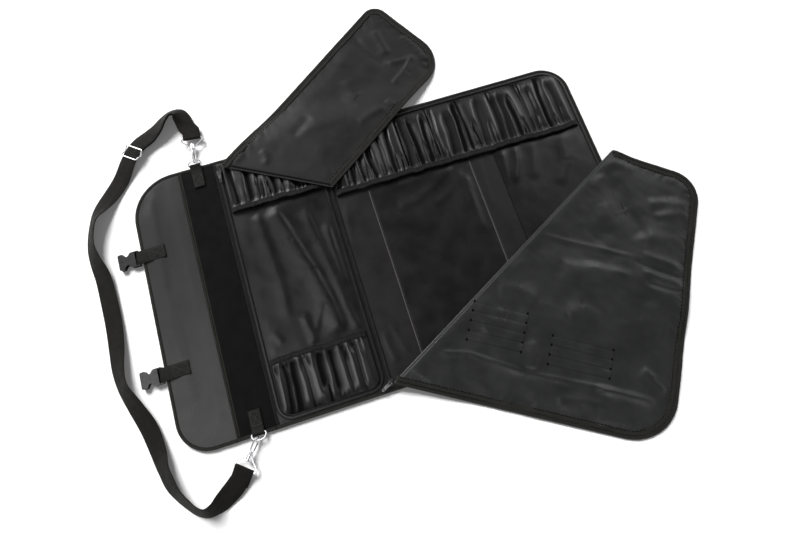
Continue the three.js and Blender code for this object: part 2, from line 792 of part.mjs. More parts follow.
function addCaseRings() {
  ringEnds.forEach(({ name, turn, bar }) => {
    const end = new THREE.Group();
    end.position.set(ringTabX, 0, 0);
    end.rotation.z = THREE.MathUtils.degToRad(turn);
    model.add(end);
    addMesh(`ring_tab_${name}`, ringTab(bar), webbing, end);
    const ring = addMesh(`case_ring_${name}`, dRing(), nickel, end);
    ring.position.set(0, bar, ringHeight);
  });
}

// Snap hooks: a cast hook turns in the barrel of a wire eye, and a sprung gate shuts it

const headRadius = 2.8;
const gatePivot = new THREE.Vector2(3.7, 10.2);

function hookBody() {
  const profile = [
    [0, -barrelHalf - 3.1], [headRadius * 0.7, -barrelHalf - 3.1], [headRadius, -barrelHalf - 2.2],
    [headRadius, -barrelHalf - 1], [postRadius, -barrelHalf - wireGap], [postRadius, barrelHalf + wireGap],
    [3.3, barrelHalf + wireGap], [3.5, barrelHalf + 1.6], [2.4, barrelHalf + 4.4], [0, barrelHalf + 4.4],
  ].map(([x, y]) => new THREE.Vector2(x, y));
  const post = new THREE.LatheGeometry(profile, 12);
  const back = new THREE.CatmullRomCurve3([
    [0, barrelHalf + 2], [-2.2, barrelHalf + 4.6], [-4.8, barrelHalf + 8.5],
    [-crookRadius, crookReach - 6], [-crookRadius, crookReach],
  ].map(([x, y]) => new THREE.Vector3(x, y, 0)), false, "catmullrom", 0.5).getPoints(9);
  const crook = arc(0, crookReach, crookRadius, 180, -26, 13).slice(1);
  const line = [...back.map((p) => new THREE.Vector2(p.x, p.y)), ...crook];
  const taper = (t) => (t < 0.85 ? hookWire : hookWire - (t - 0.85) * 2);
  const shank = flatWire(line, taper, 8);
  const ear = plate(filleted([[-2, 6.2, 1], [4.9, 6.2, 1], [4.9, 8.6, 0.8], [-2.6, 10.4, 1]], 3), -1.3, 1.3);
  return unite(post, shank, ear);
}

function hookGate() {
  const tip = new THREE.Vector2(4.7, crookReach - 3.6);
  const root = new THREE.Vector2(gatePivot.x, gatePivot.y - 0.3);
  const belly = gatePivot.clone().lerp(tip, 0.5).add(new THREE.Vector2(0.3, 0));
  return flatWire([root, belly, tip], gateWire, 8);
}

function hookEye() {
  const outline = filleted([
    [-eyeHalfWidth, -eyeDepth, 2.2], [eyeHalfWidth, -eyeDepth, 2.2], [eyeHalfWidth, eyeShoulder - eyeDepth, 5],
    [3.4, 0.6, 2.5], [-3.4, 0.6, 2.5], [-eyeHalfWidth, eyeShoulder - eyeDepth, 5],
  ], 3);
  const bore = postRadius + wireGap;
  const barrel = new THREE.CylinderGeometry(barrelRadius, barrelRadius, 2 * barrelHalf, 16);
  const hole = new THREE.CylinderGeometry(bore, bore, 2 * barrelHalf + 4, 12);
  return cut(unite(barrel, flatWire(outline, eyeWire, 8, true)), hole);
}

// Where each hook hangs on its ring, and the way it points from the eye to the ring
const hooks = [
  { name: "top", heading: [-0.122, -0.993], roll: 88, bow: [ringTabX, halfLength + ringTopReach + ringDepth] },
  { name: "bottom", heading: [0.63, 0.776], roll: 62, bow: [ringTabX - 5, ringBottomInset - halfLength - 10.2] },
];

hooks.forEach((hook) => {
  const heading = new THREE.Vector2(...hook.heading).normalize();
  const bow = new THREE.Vector2(...hook.bow);
  hook.direction = heading;
  hook.swivel = bow.clone().addScaledVector(heading, -crookReach - 1);
  hook.bar = hook.swivel.clone().addScaledVector(heading, -eyeDepth);
});

function addHooks() {
  hooks.forEach(({ name, direction, swivel, roll }) => {
    const place = new THREE.Group();
    place.position.set(swivel.x, swivel.y, ringHeight);
    place.rotation.z = Math.atan2(direction.y, direction.x) - Math.PI / 2;
    model.add(place);
    addMesh(`hook_eye_${name}`, hookEye(), nickel, place);
    const turned = new THREE.Group();
    turned.rotation.y = THREE.MathUtils.degToRad(roll);
    place.add(turned);
    addMesh(`hook_body_${name}`, hookBody(), nickel, turned);
    addMesh(`hook_gate_${name}`, hookGate(), darkSteel, turned);
  });
}

// Side-release buckles: the open halves hang from webbing tabs on the flap's edge

const barRadius = 1.5;
const buckleBarX = flapLeft - 6;
const buckleZ = buckleThickness / 2 + layerGap;
const buckleLoop = barRadius + wireGap + tabWebbing;

function buckleBody() {
  const half = buckleWidth / 2;
  const waist = buckleWaist / 2;
  const mouth = -(buckleLength - barRadius - 1);
  const rear = barRadius + 1;
  const shape = new THREE.Shape();
  shape.moveTo(mouth, 0);
  shape.lineTo(mouth, half - 3);
  shape.quadraticCurveTo(mouth, half, mouth + 3, half);
  shape.lineTo(mouth + 7.5, half + 0.3);
  shape.bezierCurveTo(mouth + 11, half - 0.5, mouth + 10.5, waist, mouth + 15, waist);
  shape.bezierCurveTo(mouth + 20, waist, mouth + 19, half, mouth + 25, half - 0.3);
  shape.lineTo(rear - 1.5, half - 0.3);
  shape.quadraticCurveTo(rear, half - 0.3, rear, half - 2);
  const right = shape.getPoints(6);
  const left = right.slice(1).reverse().map((point) => new THREE.Vector2(point.x, -point.y));
  const body = plate([...right, ...left], -buckleThickness / 2, buckleThickness / 2);
  const inside = buckleThickness / 2 - buckleWall;
  const hollow = boxBetween(mouth - 1, mouth + 24, -half + 2.4, half - 2.4, -inside, inside);
  const side = half - 1.9;
  const window = boxBetween(-buckleLoop - 1.2, rear + 1, -side, side, -buckleThickness, buckleThickness);
  const bar = rod(new THREE.Vector3(0, -half + 1, 0), new THREE.Vector3(0, half - 1, 0), barRadius, 12);
  return unite(cut(body, hollow, window), bar);
}

function addBuckles() {
  [["upper", 1], ["lower", -1]].forEach(([name, side]) => {
    const y = (side * buckleSpacing) / 2;
    const shape = new THREE.Shape();
    const end = flapLeft + buckleTabLength;
    shape.moveTo(end, panelTop);
    shape.lineTo(end, tabTop);
    shape.lineTo(flapLeft + bindingWidth + 5, tabTop);
    shape.lineTo(flapLeft + bindingWidth + 1, tabTop + bindingProud + 0.1);
    shape.lineTo(flapLeft + 1, tabTop + bindingProud + 0.1);
    shape.absarc(buckleBarX, buckleZ, buckleLoop, Math.PI / 3, (5 / 3) * Math.PI + 0.35, false);
    shape.lineTo(flapLeft - 0.5, bindingTop + 0.1);
    shape.lineTo(flapLeft + bindingWidth + 0.2, bindingTop + 0.1);
    shape.lineTo(flapLeft + bindingWidth + 0.8, panelTop);
    const hole = new THREE.Path();
    hole.absarc(buckleBarX, buckleZ, barRadius + wireGap, 0, 2 * Math.PI, true);
    shape.holes.push(hole);
    const tab = extruded(shape, buckleTabWidth);
    tab.rotateX(Math.PI / 2);
    tab.translate(0, y + buckleTabWidth / 2, 0);
    addMesh(`buckle_tab_${name}`, tab, webbing);
    const body = addMesh(`buckle_${name}`, buckleBody(), buckleResin);
    body.position.set(buckleBarX, y, buckleZ);
  });
}

// Zip sliders: a saddle over the bead, with a lug that carries the pull tab

const sliderFloor = panelTop + zipTapeThickness + layerGap;
const beadTop = panelTop + zipTapeThickness + zipBeadHeight;
const sliderTop = beadTop + layerGap + 1.2;
const lugPin = 0.8;
const lugHeight = 2.6;
const pinHeight = sliderTop + lugHeight / 2;
const pullerLength = 20;

function sliderBody(turn) {
  const outline = filleted([[-3.4, -6, 1.5], [3.4, -6, 1.5], [4.7, 6, 2], [-4.7, 6, 2]], 3);
  const saddle = plate(outline, sliderFloor, sliderTop);
  const half = zipBeadWidth / 2 + layerGap;
  const channel = boxBetween(-half, half, -8, 8, sliderFloor - 1, beadTop + layerGap);
  const lugOutline = filleted([[-1.2, -3.2, 0.6], [1.2, -3.2, 0.6], [1.2, 3.2, 0.6], [-1.2, 3.2, 0.6]], 2);
  const lug = plate(lugOutline, sliderTop - 0.5, sliderTop + lugHeight);
  const hole = rod(new THREE.Vector3(-4, 0, pinHeight), new THREE.Vector3(4, 0, pinHeight), lugPin + 0.25, 10);
  const crown = cut(lug, hole);
  crown.rotateZ(turn);
  return unite(cut(saddle, channel), crown);
}

function pullTab() {
  const half = 0.55;
  const tip = -pullerLength;
  const outline = filleted([[-2.9, -4, 0.5], [-2.1, tip, 2], [2.1, tip, 2], [2.9, -4, 0.5]], 3);
  const blade = plate(outline, -half, half);
  const arms = [-2.25, 2.25].map((x) => boxBetween(x - 0.65, x + 0.65, -5, 0.8, -half - 0.3, half + 0.3));
  const pin = rod(new THREE.Vector3(-2.6, 0, 0), new THREE.Vector3(2.6, 0, 0), lugPin, 10);
  const eyelet = new THREE.CylinderGeometry(1.1, 1.1, 4, 10);
  eyelet.rotateX(Math.PI / 2);
  eyelet.translate(0, -pullerLength + 4, 0);
  return cut(unite(blade, ...arms, pin), eyelet);
}

const sliders = [
  { name: "b", x: zipBX0, y: halfLength - zipBSliderInset, turn: 0 },
  { name: "c", x: zipCX, y: zipCSliderInset - halfLength, turn: THREE.MathUtils.degToRad(zipCPullerTurn) },
];

function addSliders() {
  sliders.forEach(({ name, x, y, turn }) => {
    const slider = addMesh(`zip_${name}_slider`, sliderBody(turn), darkSteel);
    slider.position.set(x, y, 0);
    const puller = addMesh(`zip_${name}_puller`, pullTab(), nickel);
    puller.position.set(x, y, pinHeight);
    puller.rotation.z = turn;
  });
}

// Shoulder strap: one long webbing, looped round the lower eye, lying on the floor
// beside the flap, threaded through the adjuster and doubled back from the upper eye

const layerStep = webbingThickness + 0.5;
const eyeLoop = eyeWire + wireGap + webbingThickness / 2;
const sampleStep = 12;
const glideHalfLength = 11;
const glideWire = 1.2;
const glideLift = 5.2;

// Points on the floor by hand: x, y, the twist in degrees and the height above the floor
const strapRoute = [
  [-53, -315, -12, 2.4], [-71, -327, -30, 0], [-87, -336, -52, 0], [-101, -338, -58, 0],
  [-114, -331, -56, 0], [-126, -317, -52, 0], [-138, -300, -48, 0], [-148, -279, -38, 0],
  [-154, -255, -36, 0], [-158, -228, -20, 0], [-167, -185, -11, 0], [-181, -145, -24, 0],
  [-194, -108, -38, 0], [-197, -78, -30, 0], [-195, -40, -16, 0], [-193.5, 0, -9, 0],
  [-194.5, 46, -9, 0], [-197, 92, -16, 0], [-203, 125, -34, 0], [-205, 150, -44, 0],
  [-201, 175, -46, 0], [-193, 199, -44, 0], [-178, 221, -22, 0], [-157, 243, -6, 0],
  [-135, 268, -3, 0.5], [-117, 294, -8, glideLift - 1.2], [-103, 313, -10, glideLift],
  [-88, 326, -10, glideLift], [-69, 336, -12, glideLift - 1.5], [-51, 347, -26, 2.6], [-35, 361, -40, 2.4],
  [-20, 370, -46, 2.4], [-6, 368, -40, 2.4], [0.5, 353, -22, 3.2], [3, 337, -8, 5],
];

// The route was chosen beside a case of this half length; its ends keep with the hooks
const routeHalfLength = 250;

function besideCase(y) {
  return y + (halfLength - routeHalfLength) * THREE.MathUtils.clamp(y / routeHalfLength, -1, 1);
}

const glideSpot = new THREE.Vector3(-101, besideCase(315), glideLift);

function upAcross(heading, twist) {
  const left = new THREE.Vector3(-heading.y, heading.x, 0).normalize();
  const angle = THREE.MathUtils.degToRad(twist);
  return left.multiplyScalar(Math.cos(angle)).add(new THREE.Vector3(0, 0, Math.sin(angle)));
}

function stationsAlong(route) {
  const smooth = (points) => new THREE.CatmullRomCurve3(points, false, "centripetal");
  const path = smooth(route.map(([x, y, twist]) => new THREE.Vector3(x, y, twist)));
  const lifts = smooth(route.map(([x, y, , lift]) => new THREE.Vector3(x, y, lift)));
  const length = route.slice(1).reduce((sum, [x, y], i) => {
    return sum + Math.hypot(x - route[i][0], y - route[i][1]);
  }, 0);
  const count = Math.round(length / sampleStep);
  const flat = Array.from({ length: count + 1 }, (_, i) => {
    const at = (i / count) * (route.length - 1);
    return { spot: path.getPoint(at / (route.length - 1)), lift: lifts.getPoint(at / (route.length - 1)).z };
  });
  return flat.map(({ spot, lift }, i) => {
    const before = flat[Math.max(i - 1, 0)].spot;
    const after = flat[Math.min(i + 1, count)].spot;
    const heading = new THREE.Vector3(after.x - before.x, after.y - before.y, 0).normalize();
    const across = upAcross(heading, spot.z);
    const tilt = Math.abs(across.z);
    const rise = (strapWidth / 2) * tilt + (webbingThickness / 2) * Math.sqrt(1 - tilt * tilt);
    return { centre: new THREE.Vector3(spot.x, spot.y, rise + lift), across, heading };
  });
}

function beneath(station, distance) {
  const down = new THREE.Vector3().crossVectors(station.heading, station.across).normalize();
  return { ...station, centre: station.centre.clone().addScaledVector(down, -distance) };
}

// Stations round a cross bar, in the upright plane of the heading towards the bar
function roundBar(bar, heading, radius, fromDegrees, toDegrees, steps) {
  const across = upAcross(heading, 0);
  return Array.from({ length: steps + 1 }, (_, i) => {
    const angle = THREE.MathUtils.degToRad(fromDegrees + ((toDegrees - fromDegrees) * i) / steps);
    const centre = bar.clone().addScaledVector(heading, radius * Math.cos(angle));
    centre.z += radius * Math.sin(angle);
    return { centre, across, heading };
  });
}

function ribbon(stations, width, thickness) {
  const rings = stations.map(({ centre, across }, i) => {
    const before = stations[Math.max(i - 1, 0)].centre;
    const after = stations[Math.min(i + 1, stations.length - 1)].centre;
    const along = after.clone().sub(before).normalize();
    const level = across.clone().addScaledVector(along, -across.dot(along)).normalize();
    const normal = new THREE.Vector3().crossVectors(along, level);
    return [[-1, -1], [1, -1], [1, 1], [-1, 1]].map(([side, face]) => centre.clone()
      .addScaledVector(level, (side * width) / 2).addScaledVector(normal, (face * thickness) / 2));
  });
  return loft(rings);
}

function strapBar(hook) {
  return new THREE.Vector3(hook.bar.x, hook.bar.y, ringHeight);
}

function alongHeading(bar, heading, distance, height) {
  const centre = bar.clone().addScaledVector(heading, distance);
  centre.z = height;
  return { centre, across: upAcross(heading, 0), heading };
}

function addStrap() {
  const [upper, lower] = hooks;
  const run = stationsAlong(strapRoute.map(([x, y, ...rest]) => [x, besideCase(y), ...rest]));
  const lowerBar = strapBar(lower);
  const away = new THREE.Vector3(-lower.direction.x, -lower.direction.y, 0);
  const leaving = [
    alongHeading(lowerBar, away, 26, 0.9),
    alongHeading(lowerBar, away, 17, 1.6),
    alongHeading(lowerBar, away, 8, 4.1),
    ...roundBar(lowerBar, away, eyeLoop, -60, -300, 8),
    alongHeading(lowerBar, away, 8, 7.4),
    alongHeading(lowerBar, away, 17, 4.6),
  ];
  const upperBar = strapBar(upper);
  const towards = new THREE.Vector3(upper.direction.x, upper.direction.y, 0);
  const turning = [
    alongHeading(upperBar, towards, -14, 9.2),
    alongHeading(upperBar, towards, -7, 10.2),
    ...roundBar(upperBar, towards, eyeLoop, 120, -120, 8),
    alongHeading(upperBar, towards, -7, 6.2),
    alongHeading(upperBar, towards, -14, 6.2),
  ];
  const fromGlide = (station) => station.centre.distanceTo(glideSpot);
  const glideStation = run.reduce((best, station) => (fromGlide(station) < fromGlide(best) ? station : best));
  const glideIndex = run.indexOf(glideStation);
  const back = run.slice(glideIndex + 2).reverse().map((station) => beneath(station, layerStep));
  const stations = [...leaving, ...run, ...turning, ...back, ...sewnEnd(glideStation)];
  addMesh("strap", ribbon(stations, strapWidth, webbingThickness), webbing);
  addGlide(glideStation);
}

// The webbing's end, led under the adjuster's middle bar and up behind it
function glideFrame(station) {
  const normal = new THREE.Vector3().crossVectors(station.heading, station.across).normalize();
  return (along, height) => station.centre.clone()
    .addScaledVector(station.heading, along).addScaledVector(normal, height);
}

const middleDrop = webbingThickness / 2 + wireGap + glideWire;
const wrap = glideWire + wireGap + webbingThickness / 2;

function sewnEnd(station) {
  const at = glideFrame(station);
  const points = [[11, -layerStep - 0.1], [6.5, -layerStep - 0.5]];
  for (let degrees = -25; degrees >= -190; degrees -= 33) {
    const angle = THREE.MathUtils.degToRad(degrees);
    points.push([wrap * Math.cos(angle), -middleDrop + wrap * Math.sin(angle)]);
  }
  return points.map(([along, height]) => ({ ...station, centre: at(along, height) }));
}

function addGlide(station) {
  const at = glideFrame(station);
  const half = strapWidth / 2 + glideWire + 1;
  const spot = (along, side, height) => at(along, height).addScaledVector(station.across, side);
  const raised = webbingThickness / 2 + wireGap + glideWire;
  const rail = (side) => [-1, -0.9, -0.5, 0, 0.5, 0.9, 1].map((t) => {
    const height = -middleDrop + (raised + middleDrop) * Math.sin((Math.abs(t) * Math.PI) / 2);
    return spot(glideHalfLength * t, side * (half - (Math.abs(t) > 0.95 ? 1.2 : 0)), height);
  });
  const ring = [...rail(1), ...rail(-1).reverse()];
  const middle = rod(spot(0, -half, -middleDrop), spot(0, half, -middleDrop), glideWire, 8);
  addMesh("strap_adjuster", unite(wire(ring, glideWire, 8, true), middle), nickel);
}

addSpine();
addSpinePiping();
addFlap();
addPanel();
addZips();
addPockets();
addCoverB();
addCoverC();
addCaseRings();
addHooks();
addBuckles();
addSliders();
addStrap();

export default model;
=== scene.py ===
"""Looks of the fold-out knife case: fabrics, seams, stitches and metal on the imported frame.

Lengths are in millimetres until a mesh is made; the frame itself is in metres.
"""

import math

import bmesh
import bpy
import numpy as np
from mathutils import Matrix, Vector


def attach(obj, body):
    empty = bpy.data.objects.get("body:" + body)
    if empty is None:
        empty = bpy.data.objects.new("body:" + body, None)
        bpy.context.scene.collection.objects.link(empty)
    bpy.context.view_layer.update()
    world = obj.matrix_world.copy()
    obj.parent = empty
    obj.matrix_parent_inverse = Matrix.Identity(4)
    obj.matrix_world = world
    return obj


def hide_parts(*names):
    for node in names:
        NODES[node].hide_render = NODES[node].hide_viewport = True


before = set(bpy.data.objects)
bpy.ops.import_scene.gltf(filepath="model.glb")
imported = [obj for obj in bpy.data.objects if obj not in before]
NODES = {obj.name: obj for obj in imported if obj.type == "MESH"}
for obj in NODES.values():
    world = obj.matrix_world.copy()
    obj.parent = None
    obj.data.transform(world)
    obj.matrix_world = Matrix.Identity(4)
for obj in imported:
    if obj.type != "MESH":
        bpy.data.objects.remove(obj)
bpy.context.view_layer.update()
MM = 0.001

# Sizes of the frame that the pieces are fitted to

HALF = 250.0
INNER = 244.0
SPINE = 33.0
FLAP_LEFT = -125.0
PANEL_LEFT = 33.3
PANEL_RIGHT = 730.6
LINE_BC = 228.0
LINE_ONE = 296.6
LINE_TWO = 492.6
LINE_THREE = 538.3
SHELL = 3.4
TOP = 5.0
BINDING = 6.0
BINDING_TOP = 5.4
CORDS = 6.5
SEAM = 0.6
ZIP_B = (42.3, 222.0, -240.0, 230.0)
ZIP_C = (232.0, 721.1, -234.0, 240.5)
COVER_B = [(47, 232, 4), (424.6, 501.6, 28), (526, 330, 66), (235, 128, 4)]
COVER_C = [(233, -237, 3), (755, 46, 14), (890.5, -58, 55), (637, -476.5, 80)]
MOUTH_TOP, MOUTH_BOTTOM, MOUTH_WIDE = 139.4, -139.0, 113.7

# The camera, and points of the photograph's frame on a level plane

TURN, TILT = math.radians(17.699), math.radians(75.363)
EYE = np.array([238.08, -265.87, 878.93])
FOCAL = 509.956
FRAME_SIZE = (800, 533)
SENSOR = 36
RIGHT = np.array([math.cos(TURN), -math.sin(TURN), 0.0])
AHEAD = np.array([math.cos(TILT) * math.sin(TURN), math.cos(TILT) * math.cos(TURN), -math.sin(TILT)])
UP = np.cross(RIGHT, AHEAD)


def spot(u, v, z):
    """The point at height z that the camera sees at pixel u, v."""
    ray = AHEAD * FOCAL + RIGHT * (u - FRAME_SIZE[0] / 2) - UP * (v - FRAME_SIZE[1] / 2)
    point = EYE + ray * (z - EYE[2]) / ray[2]
    return point[0], point[1]


def make_camera():
    data = bpy.data.cameras.new("camera")
    data.sensor_width = SENSOR
    data.lens = FOCAL / FRAME_SIZE[0] * SENSOR
    data.clip_start, data.clip_end = 0.02, 60
    camera = bpy.data.objects.new("camera", data)
    axes = np.eye(4)
    axes[:3, 0], axes[:3, 1], axes[:3, 2], axes[:3, 3] = RIGHT, UP, -AHEAD, EYE * MM
    camera.matrix_world = Matrix(axes.tolist())
    bpy.context.scene.collection.objects.link(camera)
    bpy.context.scene.camera = camera


make_camera()

# Numbers


def unit(vectors):
    return vectors / np.linalg.norm(vectors, axis=-1, keepdims=True)


def smooth(a, b, x):
    t = np.clip((x - a) / (b - a), 0, 1)
    return t * t * (3 - 2 * t)


def noise(x, y, size, seed):
    """Smooth noise from -1 to 1 with features of the given size."""
    table = np.random.RandomState(seed).uniform(-1, 1, (64, 64))
    u, v = np.asarray(x, float) / size, np.asarray(y, float) / size
    i, j = np.floor(u).astype(int), np.floor(v).astype(int)
    f, g = u - i, v - j
    f, g = f * f * f * (f * (6 * f - 15) + 10), g * g * g * (g * (6 * g - 15) + 10)
    corner = lambda a, b: table[(i + a) % 64, (j + b) % 64]
    low = corner(0, 0) * (1 - f) + corner(1, 0) * f
    return low * (1 - g) + (corner(0, 1) * (1 - f) + corner(1, 1) * f) * g


def crease(x, y, line, width, height, skew=0.0):
    """A soft ridge, or a groove for a negative height, along a line of points."""
    total = np.zeros_like(x)
    count = len(line) - 1
    for k in range(count):
        (x0, y0), (x1, y1) = line[k], line[k + 1]
        dx, dy = x1 - x0, y1 - y0
        long = math.hypot(dx, dy)
        t = ((x - x0) * dx + (y - y0) * dy) / long ** 2
        away = ((x - x0) * dy - (y - y0) * dx) / long
        span = np.where(away > 0, width * (1 + skew), width * (1 - skew))
        first, last = (0.3 if k == 0 else 0.02), (0.3 if k == count - 1 else 0.02)
        ends = smooth(-0.02, first, t) * (1 - smooth(1 - last, 1.02, t))
        total = np.maximum(total, ends * np.exp(-((away / span) ** 2)))
    return height * total


def creases(z, rows):
    """Creases at height z: pixels along each in the photograph's frame, then width, rise and skew."""
    return [([spot(u, v, z) for u, v in points], *shape) for points, *shape in rows]


def filleted(corners, steps):
    """An outline with rounded corners; each corner is x, y and a radius."""
    out = []
    count = len(corners)
    for i, corner in enumerate(corners):
        here = np.array(corner[:2], float)
        radius = corner[2] if len(corner) > 2 else 0
        if not radius:
            out.append(here)
            continue
        a, b = (unit(np.array(corners[k % count][:2], float) - here) for k in (i - 1, i + 1))
        half = math.acos(np.clip(a @ b, -1, 1)) / 2
        centre = here + unit(a + b) * radius / math.sin(half)
        start, end = here + a * radius / math.tan(half), here + b * radius / math.tan(half)
        first = math.atan2(*(start - centre)[::-1])
        turn = math.atan2(*(end - centre)[::-1]) - first
        turn = (turn + math.pi) % (2 * math.pi) - math.pi
        for k in range(steps + 1):
            angle = first + turn * k / steps
            out.append(centre + radius * np.array([math.cos(angle), math.sin(angle)]))
    return np.array(out)


def rectangle(x0, x1, y0, y1):
    return np.array([(x0, y0), (x1, y0), (x1, y1), (x0, y1)], float)


def edge_distance(x, y, outline):
    """How far points lie from an outline."""
    return line_distance(x, y, np.vstack([outline, outline[:1]]))[0]


def line_distance(x, y, line):
    """How far points lie from a line, and how far along it its nearest point is."""
    best, place, start = np.full(np.shape(x), 1e9), np.zeros(np.shape(x)), 0.0
    for (ax, ay), (bx, by) in zip(line, line[1:]):
        dx, dy = bx - ax, by - ay
        t = np.clip(((x - ax) * dx + (y - ay) * dy) / (dx * dx + dy * dy + 1e-12), 0, 1)
        away = np.hypot(x - ax - t * dx, y - ay - t * dy)
        place = np.where(away < best, start + t * math.hypot(dx, dy), place)
        best = np.minimum(best, away)
        start += math.hypot(dx, dy)
    return best, place


def within(x, y, outline):
    inside = np.zeros(np.shape(x), bool)
    for (ax, ay), (bx, by) in zip(outline, np.roll(outline, -1, axis=0)):
        crossing = (ay > y) != (by > y)
        inside ^= crossing & (x < (bx - ax) * (y - ay) / (by - ay + 1e-15) + ax)
    return inside


def clipped(polygon, axis, limit, sign):
    out = []
    for a, b in zip(polygon, polygon[1:] + polygon[:1]):
        da, db = sign * (a[axis] - limit), sign * (b[axis] - limit)
        if da >= 0:
            out.append(a)
        if (da > 0 > db) or (da < 0 < db):
            t = da / (da - db)
            out.append((a[0] + (b[0] - a[0]) * t, a[1] + (b[1] - a[1]) * t))
    return out


def cells(outline, pitch):
    """The inside of an outline as a net of small faces: points and faces."""
    x0, y0 = np.floor(outline.min(0) / pitch).astype(int)
    x1, y1 = np.ceil(outline.max(0) / pitch).astype(int)
    gx, gy = np.meshgrid(np.arange(x0, x1 + 1) * pitch, np.arange(y0, y1 + 1) * pitch, indexing="ij")
    inside = within(gx, gy, outline)
    touched = set()
    for a, b in zip(outline, np.roll(outline, -1, axis=0)):
        steps = int(np.linalg.norm(b - a) / pitch * 6) + 2
        for t in np.linspace(0, 1, steps):
            i, j = np.floor((a + (b - a) * t) / pitch + 1e-9).astype(int)
            touched.update((i + p, j + q) for p in (-1, 0, 1) for q in (-1, 0, 1))
    index, points, faces = {}, [], []

    def number(p):
        key = (round(p[0], 3), round(p[1], 3))
        if key not in index:
            index[key] = len(points)
            points.append(key)
        return index[key]

    whole = [tuple(p) for p in outline]
    for i in range(x0, x1):
        for j in range(y0, y1):
            left, low = i * pitch, j * pitch
            if (i, j) in touched:
                polygon = whole
                for axis, limit, sign in ((0, left, 1), (0, left + pitch, -1), (1, low, 1), (1, low + pitch, -1)):
                    polygon = clipped(polygon, axis, limit, sign) if polygon else []
            elif inside[i - x0, j - y0]:
                polygon = [(left, low), (left + pitch, low), (left + pitch, low + pitch), (left, low + pitch)]
            else:
                continue
            face = []
            for p in polygon:
                n = number(p)
                if n not in face:
                    face.append(n)
            if len(face) > 2:
                faces.append(face)
    return np.array(points), faces


# Meshes


def add_object(name, points, faces, material, uv=None):
    mesh = bpy.data.meshes.new(name)
    mesh.from_pydata((np.asarray(points, float) * MM).tolist(), [], faces)
    mesh.polygons.foreach_set("use_smooth", [True] * len(mesh.polygons))
    if uv is not None:
        layer = mesh.uv_layers.new(name="UVMap")
        corners = np.zeros(len(mesh.loops), int)
        mesh.loops.foreach_get("vertex_index", corners)
        layer.data.foreach_set("uv", (np.asarray(uv, float)[corners] * MM).ravel())
    mesh.materials.append(material)
    mesh.validate()
    piece = bpy.data.objects.new(name, mesh)
    bpy.context.scene.collection.objects.link(piece)
    return piece


def turned_out(piece):
    mesh = piece.data
    work = bmesh.new()
    work.from_mesh(mesh)
    bmesh.ops.recalc_face_normals(work, faces=work.faces)
    work.to_mesh(mesh)
    work.free()
    return piece


def sharpen(piece, degrees):
    piece.data.set_sharp_from_angle(angle=math.radians(degrees))
    return piece


def settle(piece, body, replaces=()):
    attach(piece, body)
    if replaces:
        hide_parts(*([replaces] if isinstance(replaces, str) else replaces))
    return piece


def slab(name, flat, faces, high, low, material, degrees):
    """A layer between two heights over a flat net, closed round its rim."""
    count = len(flat)
    points = np.vstack([np.column_stack([flat, high]), np.column_stack([flat, low])])
    edges = {edge: True for face in faces for edge in zip(face, face[1:] + face[:1])}
    rim = [[b, a, a + count, b + count] for a, b in edges if (b, a) not in edges]
    under = [[n + count for n in reversed(face)] for face in faces]
    piece = add_object(name, points, faces + under + rim, material, np.vstack([flat, flat]))
    return sharpen(turned_out(piece), degrees)


def plate(name, outline, top, under, pitch, material, turn=0.0):
    """A cloth layer over an outline, between two height functions; its net can be turned."""
    c, s = math.cos(turn), math.sin(turn)
    flat, faces = cells(np.asarray(outline, float) @ np.array([[c, -s], [s, c]]), pitch)
    flat = flat @ np.array([[c, s], [-s, c]])
    x, y = flat[:, 0], flat[:, 1]
    high = np.broadcast_to(top(x, y), x.shape)
    low = np.broadcast_to(under(x, y) if callable(under) else under, x.shape)
    return slab(name, flat, faces, high, low, material, 50)


def lofted(name, rings, material, uv):
    """Rings of equally many points joined into one closed skin."""
    rings = np.asarray(rings, float)
    count, size = rings.shape[:2]
    faces = []
    for i in range(0, (count - 1) * size, size):
        for j in range(size):
            m = (j + 1) % size
            faces.append([i + j, i + m, i + size + m, i + size + j])
    faces.append(list(range(size))[::-1])
    faces.append([(count - 1) * size + j for j in range(size)])
    piece = add_object(name, rings.reshape(-1, 3), faces, material, np.asarray(uv).reshape(-1, 2))
    return turned_out(piece)


def lengths(line):
    """How far along a line each of its points lies."""
    steps = np.linalg.norm(np.diff(np.asarray(line, float), axis=0), axis=1)
    return np.concatenate([[0], np.cumsum(steps)])


def resampled(line, step):
    line = np.asarray(line, float)
    along = lengths(line)
    at = np.linspace(0, along[-1], max(2, int(round(along[-1] / step)) + 1))
    return np.column_stack([np.interp(at, along, line[:, k]) for k in range(line.shape[1])])


def leftward(line):
    """Unit vectors to the left of a line."""
    d = np.gradient(np.asarray(line, float), axis=0)
    d = d / (np.linalg.norm(d, axis=1)[:, None] + 1e-12)
    return np.column_stack([-d[:, 1], d[:, 0]])


def grid(along, around):
    return np.stack(np.meshgrid(along, around, indexing="ij"), -1)


def tape(name, line, section, material, level=None, ripple=0.0, seed=1):
    """A section of (offset to the left, height) carried along a line on the floor plan."""
    line = np.asarray(line, float)
    along = lengths(line)
    base = level(line[:, 0], line[:, 1]) if level else np.zeros(len(line))
    wave = ripple * (noise(along, 0 * along, 7, seed) + 0.6 * noise(along, 0 * along, 19, seed + 1))
    offset, height = np.array(section, float).T
    lift = base[:, None] + height + wave[:, None] * np.where(np.arange(len(section)) % 2, 1, 0.7)
    flat = line[:, None, :2] + leftward(line)[:, None] * offset[:, None]
    return lofted(name, np.dstack([flat, lift]), material, grid(along, lengths(section)))


